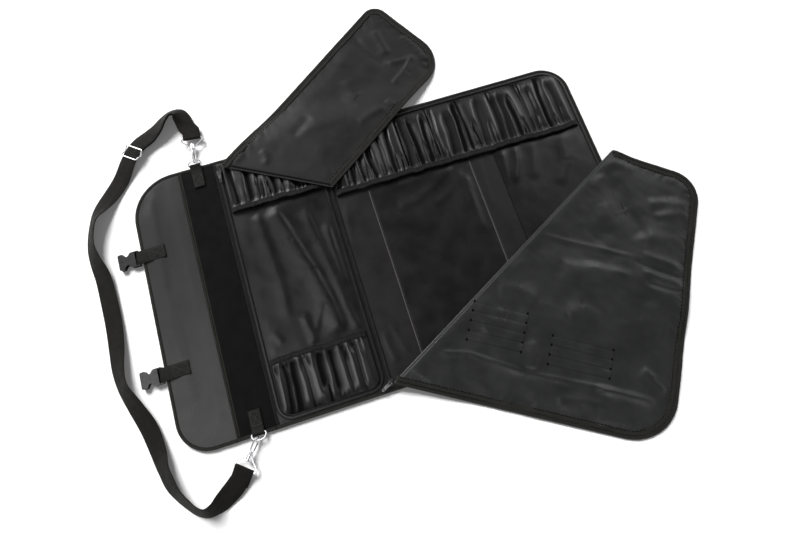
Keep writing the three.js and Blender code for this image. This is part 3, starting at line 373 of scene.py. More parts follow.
def bound_section(side, width, low, high):
    """Edge tape folded round a layer: its two flat sides and the round edge between."""
    r = min(1.4, (high - low) / 2)
    points = [(width, high - 0.25), (width - 0.4, high), (0.55 * width, high + 0.12), (r, high)]
    quarter = [(r * math.sin(angle), r * math.cos(angle)) for angle in (math.pi / 2 * k / 6 for k in range(1, 6))]
    points += [(r - a, high - r + b) for a, b in quarter] + [(0, high - r), (0, low + r)]
    points += [(r - b, low + r - a) for a, b in quarter] + [(r, low), (width, low)]
    return [(side * a, b) for a, b in points]


def stitches(name, line, height, material, pitch=4.4, length=3.0, width=0.8, level=None, jitter=0.25):
    """A row of threads laid along a line on the floor plan."""
    line = np.asarray(line, float)
    along = lengths(line)
    count = int(along[-1] / pitch)
    shift = noise(np.arange(count) * 3.1, np.zeros(count), 1.7, 5) * jitter
    first = np.arange(count) * pitch + (pitch - length) / 2
    last = first + length
    p, q = (np.column_stack([np.interp(at, along, line[:, k]) for k in (0, 1)]) for at in (first, last))
    n = unit(np.column_stack([p[:, 1] - q[:, 1], q[:, 0] - p[:, 0]]))
    points, uv = np.zeros((count, 4, 4, 3)), np.zeros((count, 4, 4, 2))
    for r, (at, half, rise) in enumerate(((0, 0.3, 0.0), (0.25, 0.5, 0.32), (0.75, 0.5, 0.32), (1, 0.3, 0.0))):
        centre = p + (q - p) * at + n * shift[:, None]
        z = height + (level(centre[:, 0], centre[:, 1]) if level else 0)
        for m, (side, up) in enumerate(((-1, 0), (-0.5, 1), (0.5, 1), (1, 0))):
            points[:, r, m, :2] = centre + n * width * half * side
            points[:, r, m, 2] = z + rise * up
            uv[:, r, m, 0] = first + length * at
            uv[:, r, m, 1] = side
    one = [[4 * r + m, 4 * r + m + 1, 4 * r + m + 5, 4 * r + m + 4] for r in range(3) for m in range(3)]
    one += [[3, 2, 1, 0], [12, 13, 14, 15]]
    faces = [[16 * k + i for i in face] for k in range(count) for face in one]
    return add_object(name, points.reshape(-1, 3), faces, material, uv.reshape(-1, 2))


def sew(body, name, line, height, thread, **how):
    settle(stitches(name, line, height, thread, **how), body)


def signed_area(outline):
    outline = np.asarray(outline, float)
    after = np.roll(outline, -1, axis=0)
    return np.sum(outline[:, 0] * after[:, 1] - outline[:, 1] * after[:, 0]) / 2


# Materials


class Nodes:
    """A node tree, with short calls for the nodes used most."""

    def __init__(self, tree):
        self.tree = tree

    def node(self, kind, **inputs):
        made = self.tree.nodes.new(kind)
        for key, value in inputs.items():
            socket = int(key[1:]) if key[1:].isdigit() else key.replace("_", " ")
            self.feed(made.inputs[socket], value)
        return made

    def feed(self, socket, value):
        if isinstance(value, bpy.types.NodeSocket):
            self.tree.links.new(value, socket)
        else:
            socket.default_value = value

    def math(self, operation, a, b=0.0, c=0.0):
        made = self.node("ShaderNodeMath", i0=a, i1=b, i2=c)
        made.operation = operation
        return made.outputs[0]

    def coordinates(self, kind="Object"):
        vector = self.node("ShaderNodeTexCoord").outputs[kind]
        return vector, *self.node("ShaderNodeSeparateXYZ", Vector=vector).outputs

    def noise(self, vector, scale, detail=3.0, rough=0.5, stretch=None):
        if stretch:
            vector = self.node("ShaderNodeMapping", Vector=vector, Scale=stretch).outputs[0]
        made = self.node("ShaderNodeTexNoise", Vector=vector, Scale=scale, Detail=detail, Roughness=rough)
        return made.outputs["Fac"]

    def ramp(self, value, low, high, to_low, to_high):
        made = self.node("ShaderNodeMapRange", Value=value, From_Min=low, From_Max=high, To_Min=to_low, To_Max=to_high)
        return made.outputs[0]

    def mix(self, factor, a, b):
        return self.node("ShaderNodeMix", Factor=factor, A=a, B=b).outputs["Result"]


class Recipe(Nodes):
    """A material; its pattern lies on the object or, for tapes and webbing, along their run."""

    def __init__(self, name, color, rough, metal=0.0, spec=0.5, pattern="Object"):
        self.material = bpy.data.materials.new(name)
        self.material.use_nodes = True
        super().__init__(self.material.node_tree)
        self.shader = self.tree.nodes["Principled BSDF"]
        self.inputs = self.shader.inputs
        self.inputs["Base Color"].default_value = (*color, 1)
        self.inputs["Roughness"].default_value = rough
        self.inputs["Metallic"].default_value = metal
        self.inputs["Specular IOR Level"].default_value = spec
        self.color, self.rough, self.height = color, rough, None
        self.vector, self.u, self.v, self.level = self.coordinates(pattern)

    def lighter(self, times):
        return tuple(min(1.0, c * times) for c in self.color)

    def shade(self, factor, other):
        """Mixes another color over what the base color is so far."""
        mix = self.node("ShaderNodeMix")
        mix.data_type = "RGBA"
        base = self.inputs["Base Color"]
        self.feed(mix.inputs["Factor"], factor)
        self.feed(mix.inputs["A"], base.links[0].from_socket if base.is_linked else tuple(base.default_value))
        self.feed(mix.inputs["B"], (*other, 1))
        self.feed(base, mix.outputs["Result"])

    def patches(self, scale, detail, low, high, amount, other, rough=0.5):
        """Shades in another color by a cloudy noise."""
        self.shade(self.ramp(self.noise(self.vector, scale, detail, rough), low, high, 0, amount), other)

    def uneven(self, scale, detail, less, more):
        """Lets the roughness wander."""
        low, high = self.rough - less, self.rough + more
        cloudy = self.ramp(self.noise(self.vector, scale, detail), 0.3, 0.7, low, high)
        self.feed(self.inputs["Roughness"], cloudy)

    def grain(self, scale, detail, strength, distance, rough=0.5, stretch=None):
        self.bump(self.noise(self.vector, scale, detail, rough, stretch), strength, distance)

    def weave(self, thread):
        turn = 2 * math.pi / (thread * MM)
        warp, weft = (self.math("SINE", self.math("MULTIPLY", at, turn)) for at in (self.u, self.v))
        return self.math("MULTIPLY", warp, weft)

    def bump(self, height, strength, distance):
        made = self.node("ShaderNodeBump", Height=height, Strength=strength, Distance=distance)
        if self.height is not None:
            self.feed(made.inputs["Normal"], self.height)
        self.height = made.outputs[0]
        self.feed(self.inputs["Normal"], self.height)


def woven(name, color, rough, thread=0.7, relief=0.25, spec=0.3, mottle=0.2, sheen=0.0):
    """Plain weave: two sets of threads over and under each other, with a slight mottle."""
    r = Recipe(name, color, rough, spec=spec)
    weave = r.weave(thread)
    fuzz = r.math("MULTIPLY", r.noise(r.vector, 900, 2), 0.3)
    r.patches(22, 4, 0.3, 0.7, 1, r.lighter(1 + 2 * mottle))
    r.shade(r.ramp(weave, -1, -0.2, 0.5, 0), r.lighter(0.5))
    r.uneven(60, 3, 0.07, 0.07)
    r.grain(130, 3, 0.12, 0.0006)
    r.bump(r.math("ADD", r.math("MULTIPLY", weave, 0.6), fuzz), relief, 0.00025)
    if sheen:
        r.inputs["Sheen Weight"].default_value = sheen
        r.inputs["Sheen Roughness"].default_value = 0.4
    return r.material


def coated(name, color, rough, spec=0.5, crumple=0.25, mottle=0.15, folds=None):
    """Thin coated cloth: almost smooth, with fine crumples and a faint weave behind the coat.

    With folds, two heights in millimetres, it is darker and duller low down between pleats: painted shade in their
    valleys.
    """
    r = Recipe(name, color, rough, spec=spec)
    r.patches(9, 5, 0.35, 0.7, 1, r.lighter(1 + 2 * mottle), 0.55)
    r.uneven(28, 4, 0.08, 0.1)
    if folds:
        # Painted shade: low in the pleats the colour darkens and the coat that glosses the raised cloth thins away.
        raised = r.ramp(r.level, folds[0] * MM, folds[1] * MM, 0, 1)
        r.shade(r.math("SUBTRACT", 1.0, raised), r.lighter(0.25))
        r.feed(r.inputs["Coat Weight"], raised)
        r.inputs["Coat Roughness"].default_value = 0.34
    r.grain(26, 3, crumple, 0.006, stretch=(1, 0.55, 1))
    r.grain(170, 4, crumple * 0.35, 0.0007, 0.6)
    r.bump(r.weave(0.45), 0.1, 0.00012)
    return r.material


def leatherette(name, color, rough):
    """Grained leather-like cloth: small raised cells and a broad mottle, and painted shade that makes it darker
    towards its upper end.
    """
    r = Recipe(name, color, rough, spec=0.2)
    raised = r.node("ShaderNodeTexVoronoi", Vector=r.vector, Scale=700.0).outputs["Distance"]
    r.patches(7, 5, 0.3, 0.7, 1, r.lighter(1.35), 0.55)
    # Painted shade: darker towards the upper end, where less light falls on the flap.
    r.shade(r.ramp(r.v, -0.22, 0.1, 0, 0.85), r.lighter(0.35))
    r.shade(r.ramp(raised, 0.45, 0.8, 0, 0.5), r.lighter(0.6))
    r.uneven(40, 3, 0.08, 0.08)
    r.grain(15, 2, 0.2, 0.008)
    r.bump(raised, 0.3, 0.0003)
    return r.material


def ribbed(name, color, rough, rib=1.7, relief=0.5, spec=0.3, warm=(1, 1, 1)):
    """Webbing and edge tape: ribs across its length, fine threads along it, a little fuzz."""
    r = Recipe(name, color, rough, spec=spec, pattern="UV")
    along = r.math("MULTIPLY", r.u, 2 * math.pi / (rib * MM))
    across = r.math("MULTIPLY", r.v, 2 * math.pi / (0.9 * MM))
    ribs = r.math("SINE", r.math("ADD", along, r.math("MULTIPLY", r.math("SINE", across), 0.9)))
    threads = r.math("MULTIPLY", r.math("SINE", r.math("MULTIPLY", across, 2.0)), 0.35)
    r.patches(35, 4, 0.35, 0.75, 0.8, tuple(c * w for c, w in zip(r.lighter(1.7), warm)))
    r.shade(r.ramp(ribs, -1, 0, 0.55, 0), r.lighter(0.45))
    r.uneven(90, 2, 0.06, 0.08)
    r.grain(400, 2, 0.15, 0.0003)
    r.bump(r.math("ADD", ribs, threads), relief, 0.00025)
    return r.material


def metal(name, color, rough):
    """Plated metal with faint smears and hairline scratches."""
    r = Recipe(name, color, rough, metal=1.0)
    r.uneven(90, 2, 0.06, 0.12)
    r.patches(120, 2, 0.5, 0.8, 0.3, r.lighter(0.7))
    r.grain(900, 2, 0.04, 0.0001, 0.6, (1, 0.15, 1))
    return r.material


def moulded(name, color, rough):
    """Moulded resin: a fine spark-eroded grain and slightly worn, paler patches."""
    r = Recipe(name, color, rough)
    r.patches(120, 4, 0.5, 0.75, 0.6, r.lighter(2.2))
    r.uneven(300, 3, 0.08, 0.1)
    r.grain(2600, 2, 0.2, 0.0001)
    return r.material


shell_cloth = woven("shell_cloth", (0.0075, 0.0075, 0.008), 0.8, thread=1.1, relief=0.4, spec=0.2, sheen=0.05)
flap_leather = leatherette("flap_leather", (0.037, 0.0355, 0.0355), 0.5)
spine_cloth = woven("spine_cloth", (0.0021, 0.0021, 0.0021), 0.75, thread=0.6, relief=0.15, spec=0.09, mottle=0.1)
panel_cloth = coated("panel_cloth", (0.0046, 0.0045, 0.0046), 0.36, spec=0.30, crumple=0.12)
strip_cloth = coated("strip_cloth", (0.0066, 0.0059, 0.0061), 0.48, spec=0.28, crumple=0.1)
# Its folds paint shade into the pleats' valleys.
pocket_cloth = coated("pocket_cloth", (0.0034, 0.0033, 0.0034), 0.6, spec=0.06, crumple=0.08, folds=(6.2, 10.6))
# A pale cloth for two seams: a painted highlight where their rolled edges catch the light.
painted_highlight_seam_cloth = coated("painted_highlight_seam_cloth", (0.032, 0.030, 0.029), 0.5, spec=0.5, crumple=0.05)
cover_cloth = coated("cover_cloth", (0.0092, 0.0097, 0.0094), 0.44, spec=0.46, crumple=0.2, mottle=0.12)
small_cover_cloth = coated("small_cover_cloth", (0.0092, 0.0093, 0.0092), 0.46, spec=0.24, crumple=0.15, mottle=0.1)
edge_tape = ribbed("edge_tape", (0.0085, 0.0082, 0.0070), 0.7, rib=1.1, relief=0.3, spec=0.25)
dark_tape = ribbed("dark_tape", (0.0045, 0.0044, 0.0042), 0.75, rib=0.9, relief=0.3, spec=0.2)
strap_web = ribbed("strap_web", (0.0048, 0.0046, 0.0041), 0.68, rib=1.9, relief=0.6, spec=0.16, warm=(1.2, 1.0, 0.82))
tab_web = ribbed("tab_web", (0.0060, 0.0058, 0.0054), 0.72, rib=1.5, relief=0.5, spec=0.22)
elastic_tape = ribbed("elastic_tape", (0.0062, 0.0060, 0.0058), 0.72, rib=2.2, relief=0.6, spec=0.22)
thread_dark = woven("thread_dark", (0.0012, 0.0012, 0.0012), 0.8, thread=0.4, relief=0.3, spec=0.06)
thread_grey = woven("thread_grey", (0.028, 0.027, 0.026), 0.6, thread=0.4, relief=0.3)
coil = moulded("coil", (0.016, 0.016, 0.0165), 0.34)
resin = moulded("resin", (0.0065, 0.0065, 0.0068), 0.36)
nickel = metal("nickel", (0.66, 0.66, 0.68), 0.24)
gunmetal = metal("gunmetal", (0.11, 0.11, 0.115), 0.3)

HARDWARE = {
    nickel: "case_ring_top case_ring_bottom hook_eye_top hook_eye_bottom hook_body_top hook_body_bottom "
            "strap_adjuster zip_c_puller",
    gunmetal: "hook_gate_top hook_gate_bottom zip_b_slider zip_b_puller zip_c_slider",
    resin: "buckle_upper buckle_lower",
}
for finish, names in HARDWARE.items():
    for name in names.split():
        carried = NODES[name]
        carried.data.materials.clear()
        carried.data.materials.append(finish)
        carried.data.polygons.foreach_set("use_smooth", [True] * len(carried.data.polygons))
        sharpen(carried, 35)

# Light, floor and background


def hang(name, lamp, towards, place=(0, 0, 0)):
    """A lamp in the scene that shines against a direction."""
    holder = bpy.data.objects.new(name, lamp)
    holder.location = place
    holder.rotation_euler = Vector(towards).to_track_quat("Z", "Y").to_euler()
    bpy.context.scene.collection.objects.link(holder)
    return holder


LIT_SPOT = Vector((0.28, -0.02, 0))


def soft_box(name, place, size, watts, on_floor):
    lamp = bpy.data.lights.new(name, "AREA")
    lamp.shape = "RECTANGLE"
    lamp.size, lamp.size_y = size
    lamp.energy = watts
    hang(name, lamp, Vector(place) - LIT_SPOT, place).visible_diffuse = on_floor


# All but the key lamp are only seen in glossy cloth and metal, so that one clear shadow falls.
soft_box("key", (-0.9, 1.95, 1.3), (1.5, 0.9), 42, True)
soft_box("left", (-0.66, -0.12, 1.4), (0.85, 0.85), 9, False)
soft_box("right", (1.75, 1.2, 1.4), (0.9, 0.9), 10, False)
soft_box("front", (0.1, -1.7, 1.0), (1.8, 0.6), 10, False)

daylight = bpy.data.lights.new("daylight", "SUN")
daylight.energy = 4.6
daylight.angle = math.radians(28)
# The sun gives soft daylight without a reflection of its own.
hang("daylight", daylight, (-0.22, 0.95, 0.85)).visible_glossy = False

world = bpy.data.worlds.new("studio")
bpy.context.scene.world = world
world.use_nodes = True
sky = Nodes(world.node_tree)
backdrop = sky.tree.nodes["Background"]
backdrop.inputs["Color"].default_value = (1, 1, 1, 1)
rays = sky.node("ShaderNodeLightPath").outputs
overhead = sky.ramp(sky.coordinates("Generated")[3], 0.1, 0.85, 1.0, 0.12)
seen_in_metal = sky.mix(rays["Is Glossy Ray"], 0.1, overhead)
through_glass = sky.mix(rays["Is Transmission Ray"], seen_in_metal, 1.0)
sky.feed(backdrop.inputs["Strength"], sky.mix(rays["Is Camera Ray"], through_glass, 1.0))

floor_finish = Recipe("floor", (0.9, 0.9, 0.9), 0.9, spec=0.1)
rays = floor_finish.node("ShaderNodeLightPath").outputs
glow = floor_finish.node("ShaderNodeEmission", Strength=floor_finish.math("MULTIPLY", rays["Is Camera Ray"], 0.1))
lit = floor_finish.node("ShaderNodeAddShader", i0=floor_finish.shader.outputs[0], i1=glow.outputs[0])
floor_finish.feed(floor_finish.tree.nodes["Material Output"].inputs["Surface"], lit.outputs[0])
FLOOR, FLOOR_LEVEL = 6000, -0.4
corners = [(a * FLOOR, b * FLOOR, FLOOR_LEVEL) for a, b in ((-1, -1), (1, -1), (1, 1), (-1, 1))]
floor = add_object("floor", corners, [[0, 1, 2, 3]], floor_finish.material)
bpy.context.scene.view_settings.view_transform = "Standard"

# The padded outer layers and the linings


def shell(name, outline, body):
    """A padded outer layer; its rim rounds over a little."""
    outline = np.asarray(outline, float)

    def rounding(x, y):
        near = np.clip(edge_distance(x, y, outline) / 1.6, 0, 1)
        return 1.1 * (1 - np.sqrt(1 - (1 - near) ** 2))

    top = lambda x, y: SHELL - 0.06 - rounding(x, y) * 0.5
    under = lambda x, y: 0.02 + rounding(x, y) + 0.12 * (1 + noise(x, y, 30, 4))
    piece = plate(name, outline, top, under, 6.0, shell_cloth)
    settle(piece, body, body + "_shell")


def rounded_end(near, far, radii):
    """The flap's or the wide panel's sewn field: square at the spine, rounded at its far end."""
    top = math.copysign(HALF - BINDING, near - far)
    first, second = radii[0] - BINDING, radii[1] - BINDING
    return filleted([(near, -top), (near, top), (far, top, first), (far, -top, second)], 16)


flap_field = rounded_end(-PANEL_LEFT, FLAP_LEFT + BINDING, (80, 56))
panel_field = rounded_end(PANEL_LEFT, PANEL_RIGHT - BINDING, (52, 52))
spine_field = rectangle(-SPINE, SPINE, -INNER, INNER)
for body, sewn in (("spine", spine_field), ("flap", flap_field), ("panel", panel_field)):
    shell(body + "_outer", sewn, body)


def lining(name, outline, material, body, node, folds, loose=0.5, free=None, seed=1, pitch=4.0):
    """An inner face: sewn flat round its edge, slack and lightly creased inside."""
    outline = np.asarray(outline, float)

    def top(x, y):
        d = edge_distance(x, y, outline)
        slack = smooth(2, 22, d) * (free(x, y) if free else 1)
        height = loose * (0.6 * noise(x, y, 46, seed) + 0.3 * noise(x + 0.4 * y, y, 19, seed + 1) + 0.5)
        for line, width, rise, skew in folds:
            height = height + crease(x, y, line, width, rise, skew)
        pucker = 0.18 * noise(x, y, 5, seed + 2) * (1 - smooth(3, 12, d))
        return TOP - 0.25 * (1 - smooth(0, 2.5, d)) + slack * np.maximum(height, -0.3) + pucker * smooth(0, 2, d)

    settle(plate(name, outline, top, SHELL, pitch, material), body, node)


FLAP_FOLDS = creases(5, [
    ([(146, 178), (160, 250), (172, 330), (196, 420)], 11, 1.6, 0.3),
    ([(158, 172), (176, 240), (196, 330), (214, 412)], 8, -1.0, 0.2),
    ([(142, 200), (152, 248), (162, 300)], 6, 1.0, -0.3),
    ([(170, 285), (184, 350), (200, 415)], 9, 1.0, 0.3),
])
lining("flap_face", flap_field, flap_leather, "flap", "flap_lining", FLAP_FOLDS, 0.5, seed=11)

SPINE_FOLDS = creases(5, [([(236, 414), (249, 428)], 4, 1.0, 0.0), ([(262, 380), (272, 420)], 5, 0.8, 0.0)])
spine_face = rectangle(-SPINE + CORDS, SPINE, -INNER, INNER)
lining("spine_face", spine_face, spine_cloth, "spine", "spine_lining", SPINE_FOLDS, 0.15, seed=21)


def field(x0, x1):
    """The wide panel's inner face between two seams."""
    return np.array(clipped(clipped([tuple(p) for p in panel_field], 0, x0, 1), 0, x1, -1))


def below_pocket(x, y):
    return 1 - smooth(MOUTH_WIDE - 14, MOUTH_WIDE - 2, y)


def between_pockets(x, y):
    inside = smooth(48, 64, x) * (1 - smooth(206, 220, x))
    return inside * smooth(MOUTH_BOTTOM, MOUTH_BOTTOM + 15, y) * (1 - smooth(124, 138, y))


B_FOLDS = creases(5, [
    ([(272, 206), (293, 238), (313, 270), (330, 300), (344, 334)], 15, 4.4, 0.45),
    ([(256, 212), (269, 245), (281, 280), (290, 320)], 10, 2.2, 0.4),
    ([(303, 205), (319, 240), (336, 275), (351, 312), (362, 330)], 8, 2.4, 0.4),
    ([(326, 222), (341, 262), (357, 302)], 8, 2.4, 0.4),
    ([(303, 312), (312, 332), (317, 344)], 6, 2.2, 0.3),
    ([(322, 300), (316, 330), (312, 345)], 5, 1.2, 0.0),
    ([(272, 330), (284, 345)], 6, 1.4, 0.0),
])
lining("panel_face_b", field(PANEL_LEFT, LINE_BC - SEAM), panel_cloth, "panel", "panel_b_lining",
       B_FOLDS, 1.1, between_pockets, seed=31, pitch=3.5)
ONE_FOLDS = creases(5, [
    ([(346, 200), (352, 250), (368, 320)], 7, 1.4, 0.2),
    ([(383, 330), (392, 352), (398, 362)], 6, 1.8, 0.2),
    ([(390, 320), (404, 345), (410, 352)], 5, 1.3, 0.2),
])
C_FOLDS = creases(5, [
    ([(452, 164), (436, 184), (418, 200), (398, 208)], 9, 2.2, 0.3),
    ([(462, 168), (452, 190), (434, 206)], 6, 1.4, 0.0),
    ([(466, 172), (474, 200), (486, 232)], 9, 2.2, 0.3),
    ([(430, 165), (412, 182), (396, 186)], 7, 1.2, 0.2),
])
TWO_FOLDS = creases(5, [([(478, 158), (484, 180), (492, 208)], 6, 1.6, 0.2)])
D_FOLDS = creases(5, [
    ([(500, 146), (504, 168), (510, 188)], 6, 2.4, 0.3),
    ([(514, 142), (518, 162), (516, 184)], 6, 2.2, 0.3),
    ([(532, 138), (534, 156), (536, 180)], 8, 1.6, 0.3),
    ([(560, 130), (566, 160), (560, 186)], 12, 1.6, 0.3),
])
BELOW_WIDE_POCKET = (
    ("strip_face_one", LINE_BC, LINE_ONE, strip_cloth, "strip_one", ONE_FOLDS, 0.5, 41),
    ("panel_face_c", LINE_ONE + SEAM, LINE_TWO - SEAM, panel_cloth, "panel_c_lining", C_FOLDS, 0.15, 51),
    ("strip_face_two", LINE_TWO, LINE_THREE, strip_cloth, "strip_two", TWO_FOLDS, 0.5, 61),
    ("panel_face_d", LINE_THREE + SEAM, PANEL_RIGHT, panel_cloth, "panel_d_lining", D_FOLDS, 0.6, 71),
)
for name, x0, x1, cloth, node, folds, loose, seed in BELOW_WIDE_POCKET:
    lining(name, field(x0, x1), cloth, "panel", node, folds, loose, below_pocket, seed)


def level_at(height):
    return lambda x, y: np.full(np.shape(x), float(height))


def seam(name, x, material, thread):
    """A narrow rolled seam along the wide panel, with a row of stitches beside it."""
    y = np.arange(1 - INNER, MOUTH_WIDE - 2, 5.0)
    line = np.column_stack([x + 0.25 * noise(y, 0 * y, 40, 3), y])
    rolled = [(1.2, 0), (1.0, 0.55), (0.3, 0.95), (-0.5, 0.9), (-1.1, 0.45), (-1.2, 0)]
    settle(tape(name, line, rolled, material, level_at(TOP - 0.15)), "panel")
    sew("panel", name + "_stitches", line + (2.6, 0), TOP + 0.06, thread)


# The first two seams are rolled in shape and pale in colour; the pale colour is a painted highlight.
seam("seam_one", LINE_ONE, painted_highlight_seam_cloth, thread_grey)
seam("seam_two", LINE_TWO, painted_highlight_seam_cloth, thread_grey)
seam("seam_three", LINE_THREE, panel_cloth, thread_dark)

joint_line = np.array([(PANEL_LEFT + 2.7, -243.5), (PANEL_LEFT + 2.7, 243.5)])
joint_band = [(2.6, 0), (2.6, 0.4), (2.2, 0.62), (-2.2, 0.62), (-2.6, 0.4), (-2.6, 0)]
joint = tape("joint_band", resampled(joint_line, 5.0), joint_band, dark_tape, level_at(TOP - 0.15), ripple=0.08)
settle(joint, "panel")
sew("panel", "joint_stitches", joint_line, TOP + 0.5, thread_dark)

# Edge tapes and the rolled cords beside the spine


def edge_binding(name, line, side, node, body):
    line = resampled(line, 4.0)
    section = [(a - side * BINDING, b) for a, b in bound_section(side, BINDING, 0.4, BINDING_TOP)]
    settle(tape(name, line, section, edge_tape, ripple=0.12, seed=7), body, node)
    row = resampled(line, 4.0)
    sew(body, name + "_stitches", row - leftward(row) * side * 1.3, BINDING_TOP + 0.04, thread_dark)


for body, sewn in (("flap", flap_field), ("panel", panel_field)):
    edge_binding(body + "_edge", np.roll(sewn, -1, axis=0), 1, body + "_binding", body)
for end, sign in (("top", 1), ("bottom", -1)):
    row = np.array([(-sign * SPINE, sign * INNER), (sign * SPINE, sign * INNER)])
    edge_binding("spine_edge_" + end, row, -1, "spine_binding_" + end, "spine")


def piping():
    """The two rolled cords, drawn as one section."""
    y = np.arange(-INNER, INNER + 1, 4.0)
    wobble = 0.12 * noise(y, 0 * y, 15, 9)
    half = CORDS / 2
    section = [(half, 0)]
    for centre in (half - 1.6, 1.6 - half):
        for angle in np.linspace(0, math.pi, 9):
            section.append((centre + 1.6 * math.cos(angle), 0.45 + 1.5 * math.sin(angle)))
    section.append((-half, 0))
    line = np.column_stack([-SPINE + half + wobble, y])
    cords = tape("spine_cords", line, section, edge_tape, level_at(SHELL))
    settle(cords, "spine", "spine_piping")


piping()

# Zips: woven tapes and rows of closed teeth


def zip_paths():
    x0, x1, low, high = ZIP_B
    around_b = filleted([(x0, high), (x0, low, 24), (x1, low, 24), (x1, high)], 12)
    x0, x1, low, high = ZIP_C
    around_c = filleted([(x0, low), (x0, high), (x1, high, 42.5), (x1, -190)], 16)
    return around_b, around_c


def teeth(name, line, pitch=1.7, half=1.95):
    """Interlocked teeth: bars from either side that reach a little past the middle."""
    along = lengths(line)
    count = int(along[-1] / pitch)
    points, faces, uv = [], [], []
    for k in range(2 * count):
        at = (k + 0.5) * pitch / 2
        side = 1 if k % 2 else -1
        p, q = (np.array([np.interp(t, along, line[:, i]) for i in (0, 1)]) for t in (at, at + 0.4))
        t = unit(q - p)
        n = np.array([-t[1], t[0]]) * side
        base = len(points)
        for reach, high, wide in ((half, 1.75, 0.36), (half - 0.5, 2.3, 0.36), (-0.35, 2.3, 0.34), (-0.75, 1.7, 0.2)):
            for w in (-wide, wide):
                xy = p + n * reach + t * w
                points += [(*xy, TOP + 0.8), (*xy, TOP + high)]
                uv += [(at + w, reach), (at + w, reach + 1)]
        for r in range(3):
            i = base + 4 * r
            faces += [[i, i + 1, i + 5, i + 4], [i + 2, i + 6, i + 7, i + 3], [i + 1, i + 3, i + 7, i + 5]]
        faces += [[base, base + 2, base + 3, base + 1], [base + 12, base + 13, base + 15, base + 14]]
    piece = add_object(name, points, faces, coil, uv)
    return sharpen(turned_out(piece), 40)


for letter, line, width in zip("bc", zip_paths(), (7.4, 6.6)):
    half, line = width / 2, resampled(line, 4.0)
    section = [(half, 0), (half, 0.55), (half * 0.75, 0.8), (0, 0.85)]
    section += [(-half * 0.75, 0.8), (-half, 0.55), (-half, 0)]
    woven_tape = tape("zip_%s_band" % letter, line, section, dark_tape, level_at(TOP - 0.1))
    settle(woven_tape, "panel", "zip_%s_tape" % letter)
    settle(teeth("zip_%s_teeth" % letter, line), "panel", "zip_%s_bead" % letter)

# Gathered pockets: thin cloth over a hollow, drawn in at the mouth by an elastic band

PLEAT_TOP = 11.9
POCKET_LOW = TOP + 0.9
POCKET_CLOTH = 0.75


def valleys(x0, x1, spacing, depth, strength, width, reach, seed):
    """Pleats by chance: where each begins at the mouth, how it leans and bows and how far it runs."""
    chance = np.random.RandomState(seed)
    out = []
    for k in range(int((x1 - x0) / spacing)):
        at = x0 + (k + 0.5 + chance.uniform(-0.32, 0.32)) * spacing
        lean, bow = chance.uniform(-0.06, 0.07), chance.uniform(-3.5, 3.5)
        strong, wide = strength * chance.uniform(0.55, 1.1), width * chance.uniform(0.75, 1.35)
        skew = chance.uniform(0.35, 1.0) * (1 if chance.uniform() > 0.4 else -1)
        out.append((at, lean, bow, strong, wide, skew, depth * chance.uniform(*reach), chance.uniform(0, 9)))
    return out


def folded_in(x, away, depth, pleats, start, fade):
    """How deep the cloth lies in its pleats."""
    total = np.zeros_like(x)
    for at, lean, bow, strong, wide, skew, run, beat in pleats:
        middle = at + lean * away + bow * np.sin(np.pi * away / depth) + 0.35 * np.sin(away / 8 + beat)
        d = x - middle
        span = wide * np.where(d * skew > 0, 1 + 1.6 * abs(skew), 0.75)
        window = smooth(start, start + 12, away) * (1 - smooth(run - fade, run, away))
        total = np.maximum(total, strong * window * np.exp(-np.abs(d / span) ** 1.6))
    return total


# Margin, spacing, depth and width of the pleats, the share of the pocket that they run, where they start and fade
GATHERS = (
    (4, 22.0, 6.8, 4.4, (0.85, 1.4), 3, 26),
    (3, 14.0, 4.8, 2.3, (0.3, 0.6), 2, 20),
    (2, 6.6, 3.8, 1.5, (0.13, 0.26), -9, 12),
)


def pocket_height(side0, side1, mouth, outer, cuts, seed, press=None):
    """The upper face of a gathered pocket: fine gathers at its mouth, wide pleats beyond."""
    depth = abs(outer - mouth)
    groups = [valleys(side0 + margin, side1 - margin, spacing, depth, strength, width, reach, seed + k)
              for k, (margin, spacing, strength, width, reach, _, _) in enumerate(GATHERS)]

    def height(x, y):
        away = np.abs(y - mouth)
        sunk = np.zeros_like(x)
        for pleats, (*_, start, fade) in zip(groups, GATHERS):
            sunk = np.maximum(sunk, folded_in(x, away, depth, pleats, start, fade))
        for cut in cuts:
            sewn_down = 4.4 * np.exp(-np.abs((x - cut) / 2.2) ** 1.5) + 0.8 * np.exp(-((x - cut) / 7) ** 2)
            sunk = np.maximum(sunk, sewn_down * smooth(6, 18, away))
        body = 10.4 + 1.3 * np.sin(np.pi * np.clip(away / depth * 0.9 + 0.05, 0, 1))
        body = body + 0.35 * noise(x, y, 31, seed + 5) + 0.12 * noise(x, y * 0.5, 9, seed + 6)
        z = np.maximum(body - sunk * (0.25 + 0.75 * smooth(8, 14, away)), POCKET_LOW)
        shoulder = np.sqrt(np.clip(np.minimum(x - side0, side1 - x) / 11, 0, 1))
        rear = np.sqrt(np.clip((depth - away) / 15, 0, 1))
        z = POCKET_LOW + (z - POCKET_LOW) * np.minimum(shoulder, rear)
        z = z + 0.5 * (1 - rear) * np.sin(2 * np.pi * x / 7.5) * smooth(0, 0.3, rear)
        top = PLEAT_TOP - (press(x, y) if press else 0)
        return np.where(z > top, top + 0.2 * (z - top), z)

    return height


def pocket_cloth_piece(name, outline, height, node):
    """The cloth of a pocket, over a net that is finer across the pleats than along them."""
    stretch = 2.4
    net, faces = cells(np.asarray(outline, float) / (1, stretch), 1.7)
    net = net * (1, stretch)
    high = height(net[:, 0], net[:, 1])
    piece = slab(name, net, faces, high, np.maximum(high - POCKET_CLOTH, TOP + 0.05), pocket_cloth, 60)
    settle(piece, "panel", node)


